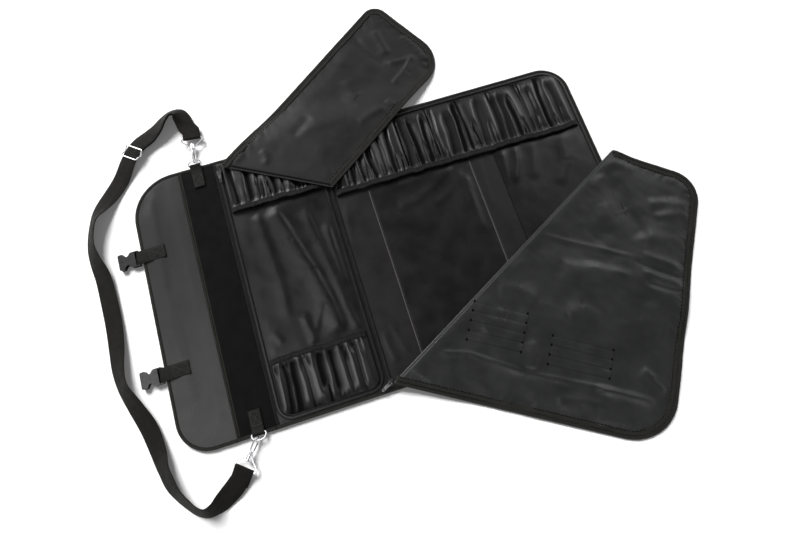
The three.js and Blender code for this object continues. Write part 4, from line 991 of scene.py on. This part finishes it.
def elastic_band(name, x0, x1, mouth, inward, height, node, seed):
    """The elastic tape along a pocket's mouth, drawn into small waves."""
    x = np.arange(x0 + 0.4, x1 - 0.3, 1.5)
    sway = 1.3 * noise(x, 0 * x, 18, seed) + 0.5 * noise(x, 0 * x, 6, seed + 1)
    section = [(-0.7, 0.1), (-0.7, 0.75), (0.0, 1.05), (2.7, 1.2), (5.4, 1.2), (8.0, 1.0), (8.7, 0.7), (8.7, 0.1)]
    rings = np.zeros((len(x), len(section), 3))
    rings[:, :, 0] = x[:, None]
    for k, (offset, rise) in enumerate(section):
        rings[:, k, 1] = mouth + inward * offset + sway
        rings[:, k, 2] = height(x, np.full_like(x, mouth + inward * min(max(offset, 0.2), 9))) + rise
    settle(lofted(name, rings, elastic_tape, grid(x, lengths(section))), "panel", node)
    line = (rings[:, 3, :] + rings[:, 4, :]) / 2
    level = lambda px, py: np.interp(px, line[:, 0], line[:, 2])
    for share, label in ((2, "a"), (5, "b")):
        sew("panel", "%s_stitches_%s" % (name, label), rings[:, share, :2], 0.06, thread_dark,
            pitch=4.0, length=2.8, width=0.7, level=level)


B_X0, B_X1, B_CUTS = 47.3, 217.0, [132.15]
C_X0, C_X1, C_CUTS = 237.0, 716.1, [257 + 62.73 * k for k in range(1, 7)]
B_FOLD = (COVER_B[0], COVER_B[3])
C_FOLD = (COVER_C[0], COVER_C[1])


def fold_distance(a, b, x, y, side=1):
    dx, dy = b[0] - a[0], b[1] - a[1]
    return side * (dx * (y - a[1]) - dy * (x - a[0])) / math.hypot(dx, dy)


def pressed_b(x, y):
    """How far the folded-back cover presses the upper pocket down."""
    return smooth(-25, 0, fold_distance(*B_FOLD, x, y))


top_b = pocket_height(B_X0, B_X1, MOUTH_TOP, 243.5, B_CUTS, 52, pressed_b)
bottom_b = pocket_height(B_X0, B_X1, MOUTH_BOTTOM, -235.5, B_CUTS, 61)
whole_c = pocket_height(C_X0, C_X1, MOUTH_WIDE, 236.0, C_CUTS, 91)
upper = rectangle(B_X0, B_X1, MOUTH_TOP, 243.0)
lower = filleted([(B_X0, MOUTH_BOTTOM), (B_X0, -235, 19), (B_X1, -235, 19), (B_X1, MOUTH_BOTTOM)], 8)
wide = filleted([(C_X0, MOUTH_WIDE), (C_X1, MOUTH_WIDE), (C_X1, 235.5, 37.5), (C_X0, 235.5)], 10)
pocket_cloth_piece("pocket_top", upper, top_b, "pocket_b_top")
pocket_cloth_piece("pocket_bottom", lower, bottom_b, "pocket_b_bottom")
pocket_cloth_piece("pocket_wide", wide, whole_c, "pocket_c")
elastic_band("mouth_top", B_X0, B_X1, MOUTH_TOP, 1, top_b, "band_b_top", 5)
elastic_band("mouth_bottom", B_X0, B_X1, MOUTH_BOTTOM, -1, bottom_b, "band_b_bottom", 6)
elastic_band("mouth_wide", C_X0, C_X1, MOUTH_WIDE, 1, whole_c, "band_c", 7)

# Covers: zipped below their diagonal folds, the rest turned over the fold


def past_panel(x, y):
    """How far points lie beyond the panel."""
    return np.hypot(np.maximum(x - PANEL_RIGHT, 0), np.maximum(np.abs(y) - HALF, 0))


def draped(level, x, y, line):
    """A cover's level: it sinks from the panel to the floor, where its middle stays a little slack."""
    slack = 0.6 + 2.2 * smooth(10, 45, line_distance(x, y, line)[0])
    return level + (slack - level) * smooth(0, 75, past_panel(x, y))


COVER_B_FOLDS = creases(13, [
    ([(350, 33), (368, 50), (386, 61)], 8, -3.0, 0.2),
    ([(374, 26), (381, 40), (388, 52)], 9, 2.8, 0.2),
    ([(387, 60), (400, 58), (414, 53)], 6, 2.2, 0.2),
    ([(414, 51), (405, 67), (392, 82)], 7, 3.0, -0.3),
    ([(400, 31), (416, 43), (430, 58)], 10, 3.0, 0.3),
    ([(386, 99), (392, 104), (398, 106)], 5, 2.2, 0.0),
    ([(386, 106), (372, 114), (358, 124)], 8, 2.0, 0.2),
    ([(310, 116), (302, 126), (292, 138)], 9, -2.0, 0.2),
    ([(233, 165), (238, 159), (244, 153)], 7, 2.0, 0.0),
    ([(262, 150), (268, 158), (266, 166)], 6, 1.6, 0.3),
    ([(345, 76), (352, 90), (350, 104)], 14, 1.4, 0.0),
])
COVER_C_FOLDS = creases(10, [
    ([(539, 234.6), (590, 246), (639, 258)], 3.2, 1.8, 0.0),
    ([(613, 178), (628, 209), (646, 238)], 15, -4.2, 0.2),
    ([(594, 172), (603, 203), (613, 232)], 17, 3.4, 0.0),
    ([(648, 203), (670, 201), (692, 206)], 10, 3.0, 0.2),
    ([(653, 216), (676, 213), (692, 216)], 8, 2.2, 0.0),
    ([(646, 234), (666, 240), (688, 241)], 13, 2.2, 0.2),
    ([(601, 161), (618, 164), (636, 170)], 9, 1.8, 0.0),
    ([(666, 174), (680, 181), (690, 191)], 9, 2.0, 0.0),
    ([(641, 254), (665, 262), (689, 272)], 6, 2.4, -0.2),
    ([(633, 259), (658, 271), (686, 279)], 4.5, -3.2, 0.2),
    ([(642, 271), (665, 280), (686, 287)], 7, 2.6, -0.2),
    ([(645, 281), (668, 288), (688, 293)], 4.5, -3.0, 0.2),
    ([(560, 264), (594, 268), (636, 278)], 15, 3.6, 0.4),
    ([(566, 312), (582, 309), (604, 320)], 17, 2.4, 0.3),
    ([(497, 286), (518, 290), (540, 299)], 15, 2.2, 0.3),
    ([(438, 352), (468, 353), (526, 372), (596, 386), (661, 402)], 6, 2.6, 0.4),
    ([(531, 340), (536, 356), (533, 371)], 11, 2.4, 0.3),
    ([(408, 367), (420, 373), (434, 382)], 4, 1.8, 0.0),
    ([(643, 368), (655, 378), (670, 391)], 9, 3.6, 0.4),
    ([(654, 377), (663, 384), (670, 390)], 3.5, -2.2, 0.0),
    ([(596, 388), (628, 395), (659, 404)], 7, 2.4, 0.3),
    ([(556, 399), (582, 402), (608, 406)], 13, 2.4, 0.3),
    ([(598, 420), (622, 423), (646, 428)], 11, 2.0, 0.3),
    ([(480, 330), (505, 322), (530, 328)], 18, 1.6, 0.0),
    ([(610, 330), (640, 322), (672, 330)], 20, 2.0, 0.3),
])


def wrinkled(x, y, folds, line, seed, loose):
    """A cover's wrinkles: long waves, measured creases and the puckered seam by its bound edges."""
    d, along = line_distance(x, y, line)
    rise = 0.7 * noise(x, y, 62, seed) + 0.5 * noise(x - 0.5 * y, y, 33, seed + 1)
    rise = loose * (rise + 0.16 * noise(x, y + 0.6 * x, 15, seed + 2))
    for path, width, height, skew in folds:
        rise = rise + crease(x, y, path, width, height, skew)
    pucker = 1.1 * noise(along + 0.4 * d, d * 0.25, 5.5, seed + 3) * (1 - smooth(15, 34, d)) * smooth(9, 15, d)
    pucker = pucker * (0.35 + 0.65 * smooth(-0.2, 0.5, noise(along, 0 * along, 70, seed + 4)))
    return rise * (0.35 + 0.65 * smooth(4, 26, d)) + pucker + 0.45 * loose


LEVEL_B, LEVEL_C = 14.6, 7.8
OUTLINE_B = filleted(COVER_B, 8)
OUTLINE_C = filleted(COVER_C, 10)
FREE_B = OUTLINE_B[8:28]
FREE_C = np.vstack([OUTLINE_C[14:], OUTLINE_C[:1]])


def under_b(x, y):
    d = fold_distance(*B_FOLD, x, y)
    level = draped(LEVEL_B - 2.1 * smooth(233, 288, x), x, y, FREE_B)
    return np.maximum(level + wrinkled(x, y, COVER_B_FOLDS, FREE_B, 101, 0.9) * smooth(3, 20, d), 0.5)


def beside_fold_c(x, y, rise):
    """How far points lie from cover C's fold, and the level that sinks away from it."""
    d = np.maximum(fold_distance(*C_FOLD, x, y, -1), 0)
    return d, LEVEL_C + rise * np.exp(-((d / 26) ** 2))


def under_c(x, y):
    d, level = beside_fold_c(x, y, 5.8)
    level = draped(level, x, y, FREE_C)
    return np.maximum(level + wrinkled(x, y, COVER_C_FOLDS, FREE_C, 121, 2.4) * smooth(3, 22, d), 0.5)


CLOTH = 1.2
ROLL = 17


def rolled_over(level, distance, low):
    """The two faces of a cover; along its fold they close round a soft roll."""
    crown = level + CLOTH
    middle, half = (crown + low) / 2, (crown - low) / 2
    bow = np.sqrt(np.clip(1 - (1 - np.clip(distance, 0, ROLL) / ROLL) ** 2.6, 0, 1))
    closed = middle - half * bow
    return middle + half * bow, closed + (level - closed) * smooth(8, ROLL, distance)


def cover_cloth_piece(name, outline, level, fold, side, low, body, material):
    """The folded-back cloth of a cover."""
    def face(which):
        distance = lambda x, y: np.maximum(fold_distance(*fold, x, y, side) - 1.0, 0)
        return lambda x, y: rolled_over(level(x, y), distance(x, y), low)[which]

    turn = math.atan2(fold[1][1] - fold[0][1], fold[1][0] - fold[0][0])
    piece = plate(name, inset(outline, 1.0), face(0), face(1), 3.0, material, turn)
    settle(piece, body, body + "_flap")


def inset(outline, distance):
    """The outline moved inwards."""
    outline = np.asarray(outline, float)
    a, b = unit(outline - np.roll(outline, 1, axis=0)), unit(np.roll(outline, -1, axis=0) - outline)
    normal = unit(np.column_stack([-(a + b)[:, 1], (a + b)[:, 0]])) * math.copysign(1, signed_area(outline))
    half = np.sqrt(np.clip((1 + (a * b).sum(1)) / 2, 0.2, 1))
    return outline + normal * (distance / half)[:, None]


def cover_edge(body, name, outline, first, last, level):
    """The edge tape round a cover's free sides, and the half of its zip beside the tape."""
    line = resampled([outline[i % len(outline)] for i in range(first, last + 1)], 4.0)
    side = math.copysign(1, signed_area(outline))
    section = bound_section(side, 7.0, -0.35, CLOTH + 0.75)
    settle(tape(name, line, section, edge_tape, level, ripple=0.16, seed=3), body, body + "_binding")
    left, along = leftward(line) * side, lengths(line)
    sway = 0.5 * noise(along, 0 * along, 26, 8)[:, None]
    band = [(side * a, b) for a, b in ((0, 0.02), (0, 0.55), (0.9, 0.7), (6.8, 0.7), (7.8, 0.5), (7.8, 0.02))]
    over = lambda x, y: level(x, y) + CLOTH
    settle(tape(name + "_zip_half", line + left * (6.9 + sway), band, edge_tape, over), body)
    for label, offset, height, pitch, width in (("a", 5.7, 0.86, 4.4, 0.8), ("b", 13.6 + sway, 0.75, 6.5, 1.3)):
        sew(body, name + "_stitches_" + label, line + left * offset, height, thread_dark,
            pitch=pitch, length=0.7 * pitch, width=width, level=over, jitter=0.5)


cover_cloth_piece("cover_small", OUTLINE_B, under_b, B_FOLD, 1, PLEAT_TOP, "cover_b",
                  small_cover_cloth)
cover_cloth_piece("cover_large", OUTLINE_C, under_c, C_FOLD, -1, 11.4, "cover_c",
                  cover_cloth)
cover_edge("cover_b", "cover_small_edge", OUTLINE_B, 8, 27, under_b)
cover_edge("cover_c", "cover_large_edge", OUTLINE_C, 14, 44, under_c)


def ply(name, outline, level, low, node):
    """The part of a cover that stays zipped to the panel."""
    top = lambda x, y: level(x, y) - 0.8
    under = lambda x, y: np.maximum(level(x, y) - 1.9, low)
    settle(plate(name, outline, top, under, 8.0, cover_cloth), "panel", node)


small_ply = filleted([(74, 226), (224, 143, 2), (224, 236, 4)], 4)
large_ply = filleted([(262, -231.5), (716, -231.5, 20), (716, 13, 3)], 6)
ply("ply_small", small_ply, level_at(LEVEL_B - 0.8), PLEAT_TOP, "cover_b_fixed")
ply("ply_large", large_ply, lambda x, y: beside_fold_c(x, y, 5.4)[1], 5.6, "cover_c_fixed")

# The small patch and the two groups of sewn sleeves on the covers


def axes(degrees):
    c, s = math.cos(math.radians(degrees)), math.sin(math.radians(degrees))
    return np.array([c, s]), np.array([-s, c])


def turned_box(centre, length, width, degrees):
    along, across = axes(degrees)
    return np.array([np.array(centre) + along * i * length / 2 + across * j * width / 2
                     for i, j in ((-1, -1), (1, -1), (1, 1), (-1, 1))])


def patch():
    outline = turned_box((324, 305), 16, 20, 36)
    over = lambda x, y: under_b(x, y) + CLOTH
    top = lambda x, y: over(x, y) + 0.25 + 0.4 * smooth(0, 2.5, edge_distance(x, y, outline))
    piece = plate("patch", outline, top, lambda x, y: over(x, y) + 0.02, 2.0, small_cover_cloth)
    settle(piece, "cover_b", "cover_b_patch")
    rows = inset(outline, 1.6)
    sew("cover_b", "patch_stitches", np.vstack([rows, rows[:1]]), -0.02, thread_dark,
        pitch=3.2, length=2.3, width=0.6, level=top)


def sleeves(name, centre, length, width, node, divisions):
    """A cloth sewn down in lines, so that it makes a row of open sleeves."""
    turn = -31
    along, across = axes(turn)
    centre = np.array(centre)
    over = lambda x, y: under_c(x, y) + CLOTH
    lines = [(-0.5 + k / divisions) * width for k in range(divisions + 1)]

    def top(x, y):
        u, v = ((x - centre[0]) * way[0] + (y - centre[1]) * way[1] for way in (along, across))
        gap = np.min([np.abs(v - line) for line in lines], axis=0)
        billow = 0.65 * (1 - np.exp(-((gap / 3.2) ** 2)))
        return over(x, y) + 0.2 + billow * (1 + 0.5 * smooth(length * 0.3, length * 0.5, u))

    outline = turned_box(centre, length, width, turn)
    piece = plate(name, outline, top, lambda x, y: over(x, y) + 0.02, 2.4, cover_cloth)
    settle(piece, "cover_c", node)
    for k, v in enumerate(lines):
        middle = centre + across * min(max(v, -width / 2 + 1.0), width / 2 - 1.0)
        reach = along * (length / 2 - 1.5)
        sew("cover_c", "%s_line_%d" % (name, k), [middle - reach, middle + reach], 0.05, thread_dark,
            pitch=4.2, length=2.6, width=0.7, level=top)
        for end, label in ((middle - reach, "a"), (middle + reach, "b")):
            for step in (-0.7, 0.7):
                bar = [end - across * 2.8 + along * step, end + across * 2.8 + along * step]
                sew("cover_c", "%s_tack_%d%s%d" % (name, k, label, step > 0), bar, 0.5, thread_dark,
                    pitch=5.4, length=5.2, width=1.7, level=over)


patch()
sleeves("sleeves_four", (433, -201), 96, 68, "sleeves_long", 4)
sleeves("sleeves_three", (550, -292), 108, 50, "sleeves_short", 3)

# Webbing loops that hold the rings and the buckles


def webbing_section(width, thick, edge, corner):
    """A flat webbing's section, with its edges taken off."""
    half = width / 2
    upper = [(-half, edge), (-half + corner, thick), (-half / 3, thick)]
    upper += [(-a, b) for a, b in upper[::-1]]
    return np.array(upper + [(-a, -b) for a, b in upper])


def webbing_loop(name, path, width, place):
    """A webbing of two layers folded round a bar; the path is in the plane of its fold."""
    path = resampled(path, 1.6)
    section = webbing_section(width, 0.62, 0.3, 0.4)
    rings = [[place(*(p + n * lift), side) for side, lift in section] for p, n in zip(path, leftward(path))]
    return lofted(name, rings, tab_web, grid(lengths(path), lengths(section)))


def arc_points(centre, radius, start, end, steps):
    angles = np.radians(np.linspace(start, end, steps + 1))
    return [(centre[0] + radius * math.cos(a), centre[1] + radius * math.sin(a)) for a in angles]


def boxed_cross(name, corners, body):
    """A rectangle of stitches with a cross inside."""
    a, b, c, d = corners
    sew(body, name, [a, b, c, d, a, c, d, b], TAB_HIGH + 0.66, thread_grey,
        pitch=3.4, length=2.5, width=0.75, jitter=0.15)


TAB_LOW, TAB_HIGH = TOP + 0.7, TOP + 1.95
RING_BARS = {"top": (1, 251.5), "bottom": (-1, 245.5)}
RING_HEIGHT = 8.45
for end, (sign, bar) in RING_BARS.items():
    path = [(208.6, TAB_LOW), (240.5, TAB_LOW), (243.6, TAB_LOW + 0.5), (bar - 1.2, RING_HEIGHT - 2.3)]
    path += arc_points((bar, RING_HEIGHT), 2.25, -75, 95, 10)
    path += [(bar - 4.5, RING_HEIGHT + 0.3), (bar - 8, TAB_HIGH + 0.6), (bar - 12, TAB_HIGH), (208, TAB_HIGH)]
    place = lambda along, lift, side, sign=sign: (3 - sign * side, sign * along, lift)
    settle(webbing_loop("ring_loop_" + end, path, 20, place), "spine", "ring_tab_" + end)
    boxed_cross("ring_cross_" + end, rectangle(-4.5, 10.5, sign * 211, sign * 233), "spine")

for label, y in (("upper", 107), ("lower", -107)):
    path = [(-82.6, TAB_LOW), (-116.8, TAB_LOW), (-119.5, TAB_LOW + 0.45), (-125, TAB_LOW + 0.45), (-127.2, 4.3)]
    path += arc_points((-131, 4.3), 2.45, -35, -300, 14)
    path += [(-126.5, 7.1), (-124, TAB_HIGH + 0.5), (-118, TAB_HIGH + 0.5), (-114, TAB_HIGH), (-82, TAB_HIGH)]
    place = lambda along, lift, side, y=y: (along, y + side, lift)
    settle(webbing_loop("buckle_loop_" + label, path, 24, place), "flap", "buckle_tab_" + label)
    boxed_cross("buckle_cross_" + label, rectangle(-85, -110, y - 9.5, y + 9.5), "flap")

# The shoulder strap

STRAP_WIDTH, STRAP_THICK = 32.0, 1.6
GLIDE_LIFT = 5.2
ROUTE = [
    (-53, -315, -12, 2.4), (-71, -327, -30, 0), (-87, -336, -52, 0), (-101, -338, -58, 0),
    (-114, -331, -56, 0), (-126, -317, -52, 0), (-138, -300, -48, 0), (-148, -279, -38, 0),
    (-154, -255, -36, 0), (-158, -228, -20, 0), (-167, -185, -11, 0), (-181, -145, -24, 0),
    (-194, -108, -38, 0), (-197, -78, -30, 0), (-195, -40, -16, 0), (-193.5, 0, -9, 0),
    (-194.5, 46, -9, 0), (-197, 92, -16, 0), (-203, 125, -34, 0), (-205, 150, -44, 0),
    (-201, 175, -46, 0), (-193, 199, -44, 0), (-178, 221, -22, 0), (-157, 243, -6, 0),
    (-135, 268, -3, 0.5), (-117, 294, -8, GLIDE_LIFT - 1.2), (-103, 313, -10, GLIDE_LIFT),
    (-88, 326, -10, GLIDE_LIFT), (-69, 336, -12, GLIDE_LIFT - 1.5), (-51, 347, -26, 2.6), (-35, 361, -40, 2.4),
    (-20, 370, -46, 2.4), (-6, 368, -40, 2.4), (0.5, 353, -22, 3.2), (3, 337, -8, 5),
]
GLIDE_SPOT = np.array([-101, 315, GLIDE_LIFT])
HOOK_REACH = 47


def catmull_rom(points, t):
    """A point of the smooth line through points; t runs from 0 to 1."""
    first, *_, last = points = np.asarray(points, float)
    count = len(points) - 1
    at = min(int(count * t), count - 1)
    w = count * t - at
    p0, p1, p2, p3 = np.vstack([2 * first - points[1], points, 2 * last - points[-2]])[at:at + 4]
    d0, d1, d2 = [max(np.linalg.norm(b - a) ** 0.5, 1e-4) for a, b in ((p0, p1), (p1, p2), (p2, p3))]
    m1 = ((p1 - p0) / d0 - (p2 - p0) / (d0 + d1) + (p2 - p1) / d1) * d1
    m2 = ((p2 - p1) / d1 - (p3 - p1) / (d1 + d2) + (p3 - p2) / d2) * d1
    return p1 + m1 * w + (-3 * p1 + 3 * p2 - 2 * m1 - m2) * w ** 2 + (2 * p1 - 2 * p2 + m1 + m2) * w ** 3


def up_across(heading, twist):
    """Across the strap, twisted up from the floor."""
    left = np.array([-heading[1], heading[0], 0]) / math.hypot(heading[0], heading[1])
    twist = math.radians(twist)
    return left * math.cos(twist) + np.array([0, 0, math.sin(twist)])


def strap_run(finer):
    """Stations of the strap's run: centre, across and heading."""
    flat = [(x, y, twist) for x, y, twist, _ in ROUTE]
    lifted = [(x, y, lift) for x, y, _, lift in ROUTE]
    total = sum(math.hypot(b[0] - a[0], b[1] - a[1]) for a, b in zip(ROUTE, ROUTE[1:]))
    count = round(total / 12) * finer
    spots = [(catmull_rom(flat, i / count), catmull_rom(lifted, i / count)[2]) for i in range(count + 1)]
    out = []
    for i, (at, lift) in enumerate(spots):
        before, after = spots[max(i - finer, 0)][0], spots[min(i + finer, count)][0]
        heading = unit(np.array([after[0] - before[0], after[1] - before[1], 0]))
        across = up_across(heading, at[2])
        tilt = abs(across[2])
        rise = STRAP_WIDTH / 2 * tilt + STRAP_THICK / 2 * math.sqrt(1 - tilt * tilt)
        out.append((np.array([at[0], at[1], rise + lift]), across, heading))
    return out


def by_bar(bar, heading, spots):
    """Stations beside and round a bar: distances along the heading, and heights."""
    return [(np.array([*(bar + heading * away)[:2], z]), up_across(heading, 0), heading) for away, z in spots]


def hook_bar(heading, bow):
    """The bar of a hook's eye, from where the hook points and where its bow lies."""
    heading = unit(np.array([*heading, 0.0]))
    return np.array([*bow, RING_HEIGHT]) - heading * HOOK_REACH, heading


def strap_stations():
    """The whole strap: round the lower hook's bar, the run, round the upper one and back to the slide."""
    finer = 3
    run = strap_run(finer)
    round_bar = lambda start, end: arc_points((0, RING_HEIGHT), 2.5, start, end, 12)
    lower_bar, direction = hook_bar((0.63, 0.776), (-2, -255.7))
    spots = [(26, 0.9), (17, 1.6), (8, 4.1)] + round_bar(-60, -300) + [(8, 7.4), (17, 4.6)]
    leaving = by_bar(lower_bar, -direction, spots)
    upper_bar, towards = hook_bar((-0.122, -0.993), (3, 262.5))
    spots = [(-14, 9.2), (-7, 10.2)] + round_bar(120, -120) + [(-7, 6.2), (-14, 6.2)]
    turning = by_bar(upper_bar, towards, spots)
    index = min(range(0, len(run), finer), key=lambda i: np.linalg.norm(run[i][0] - GLIDE_SPOT))
    above = lambda station: unit(np.cross(station[2], station[1]))
    back = [(s[0] - above(s) * 2.1, s[1], s[2]) for s in run[index + 2 * finer:][::-1]]
    centre, across, heading = run[index]
    sewn = [(11, -2.2), (6.5, -2.6)] + arc_points((0, -2.3), 2.3, -25, -190, 5)
    tail = [(centre + heading * along + above(run[index]) * z, across, heading) for along, z in sewn]
    return leaving + run + turning + back + tail


def make_strap():
    stations = strap_stations()
    centres = np.array([s[0] for s in stations])
    along = lengths(centres)
    section = webbing_section(STRAP_WIDTH, STRAP_THICK / 2, 0.25, 0.5)
    rings = []
    for i, (centre, across, _) in enumerate(stations):
        way = unit(centres[min(i + 1, len(stations) - 1)] - centres[max(i - 1, 0)])
        level = unit(across - way * (across @ way))
        normal = np.cross(way, level)
        rings.append([centre + level * side + normal * face for side, face in section])
    strap = sharpen(lofted("shoulder_strap", rings, strap_web, grid(along, lengths(section))), 60)
    settle(strap, "spine", "strap")


make_strap()
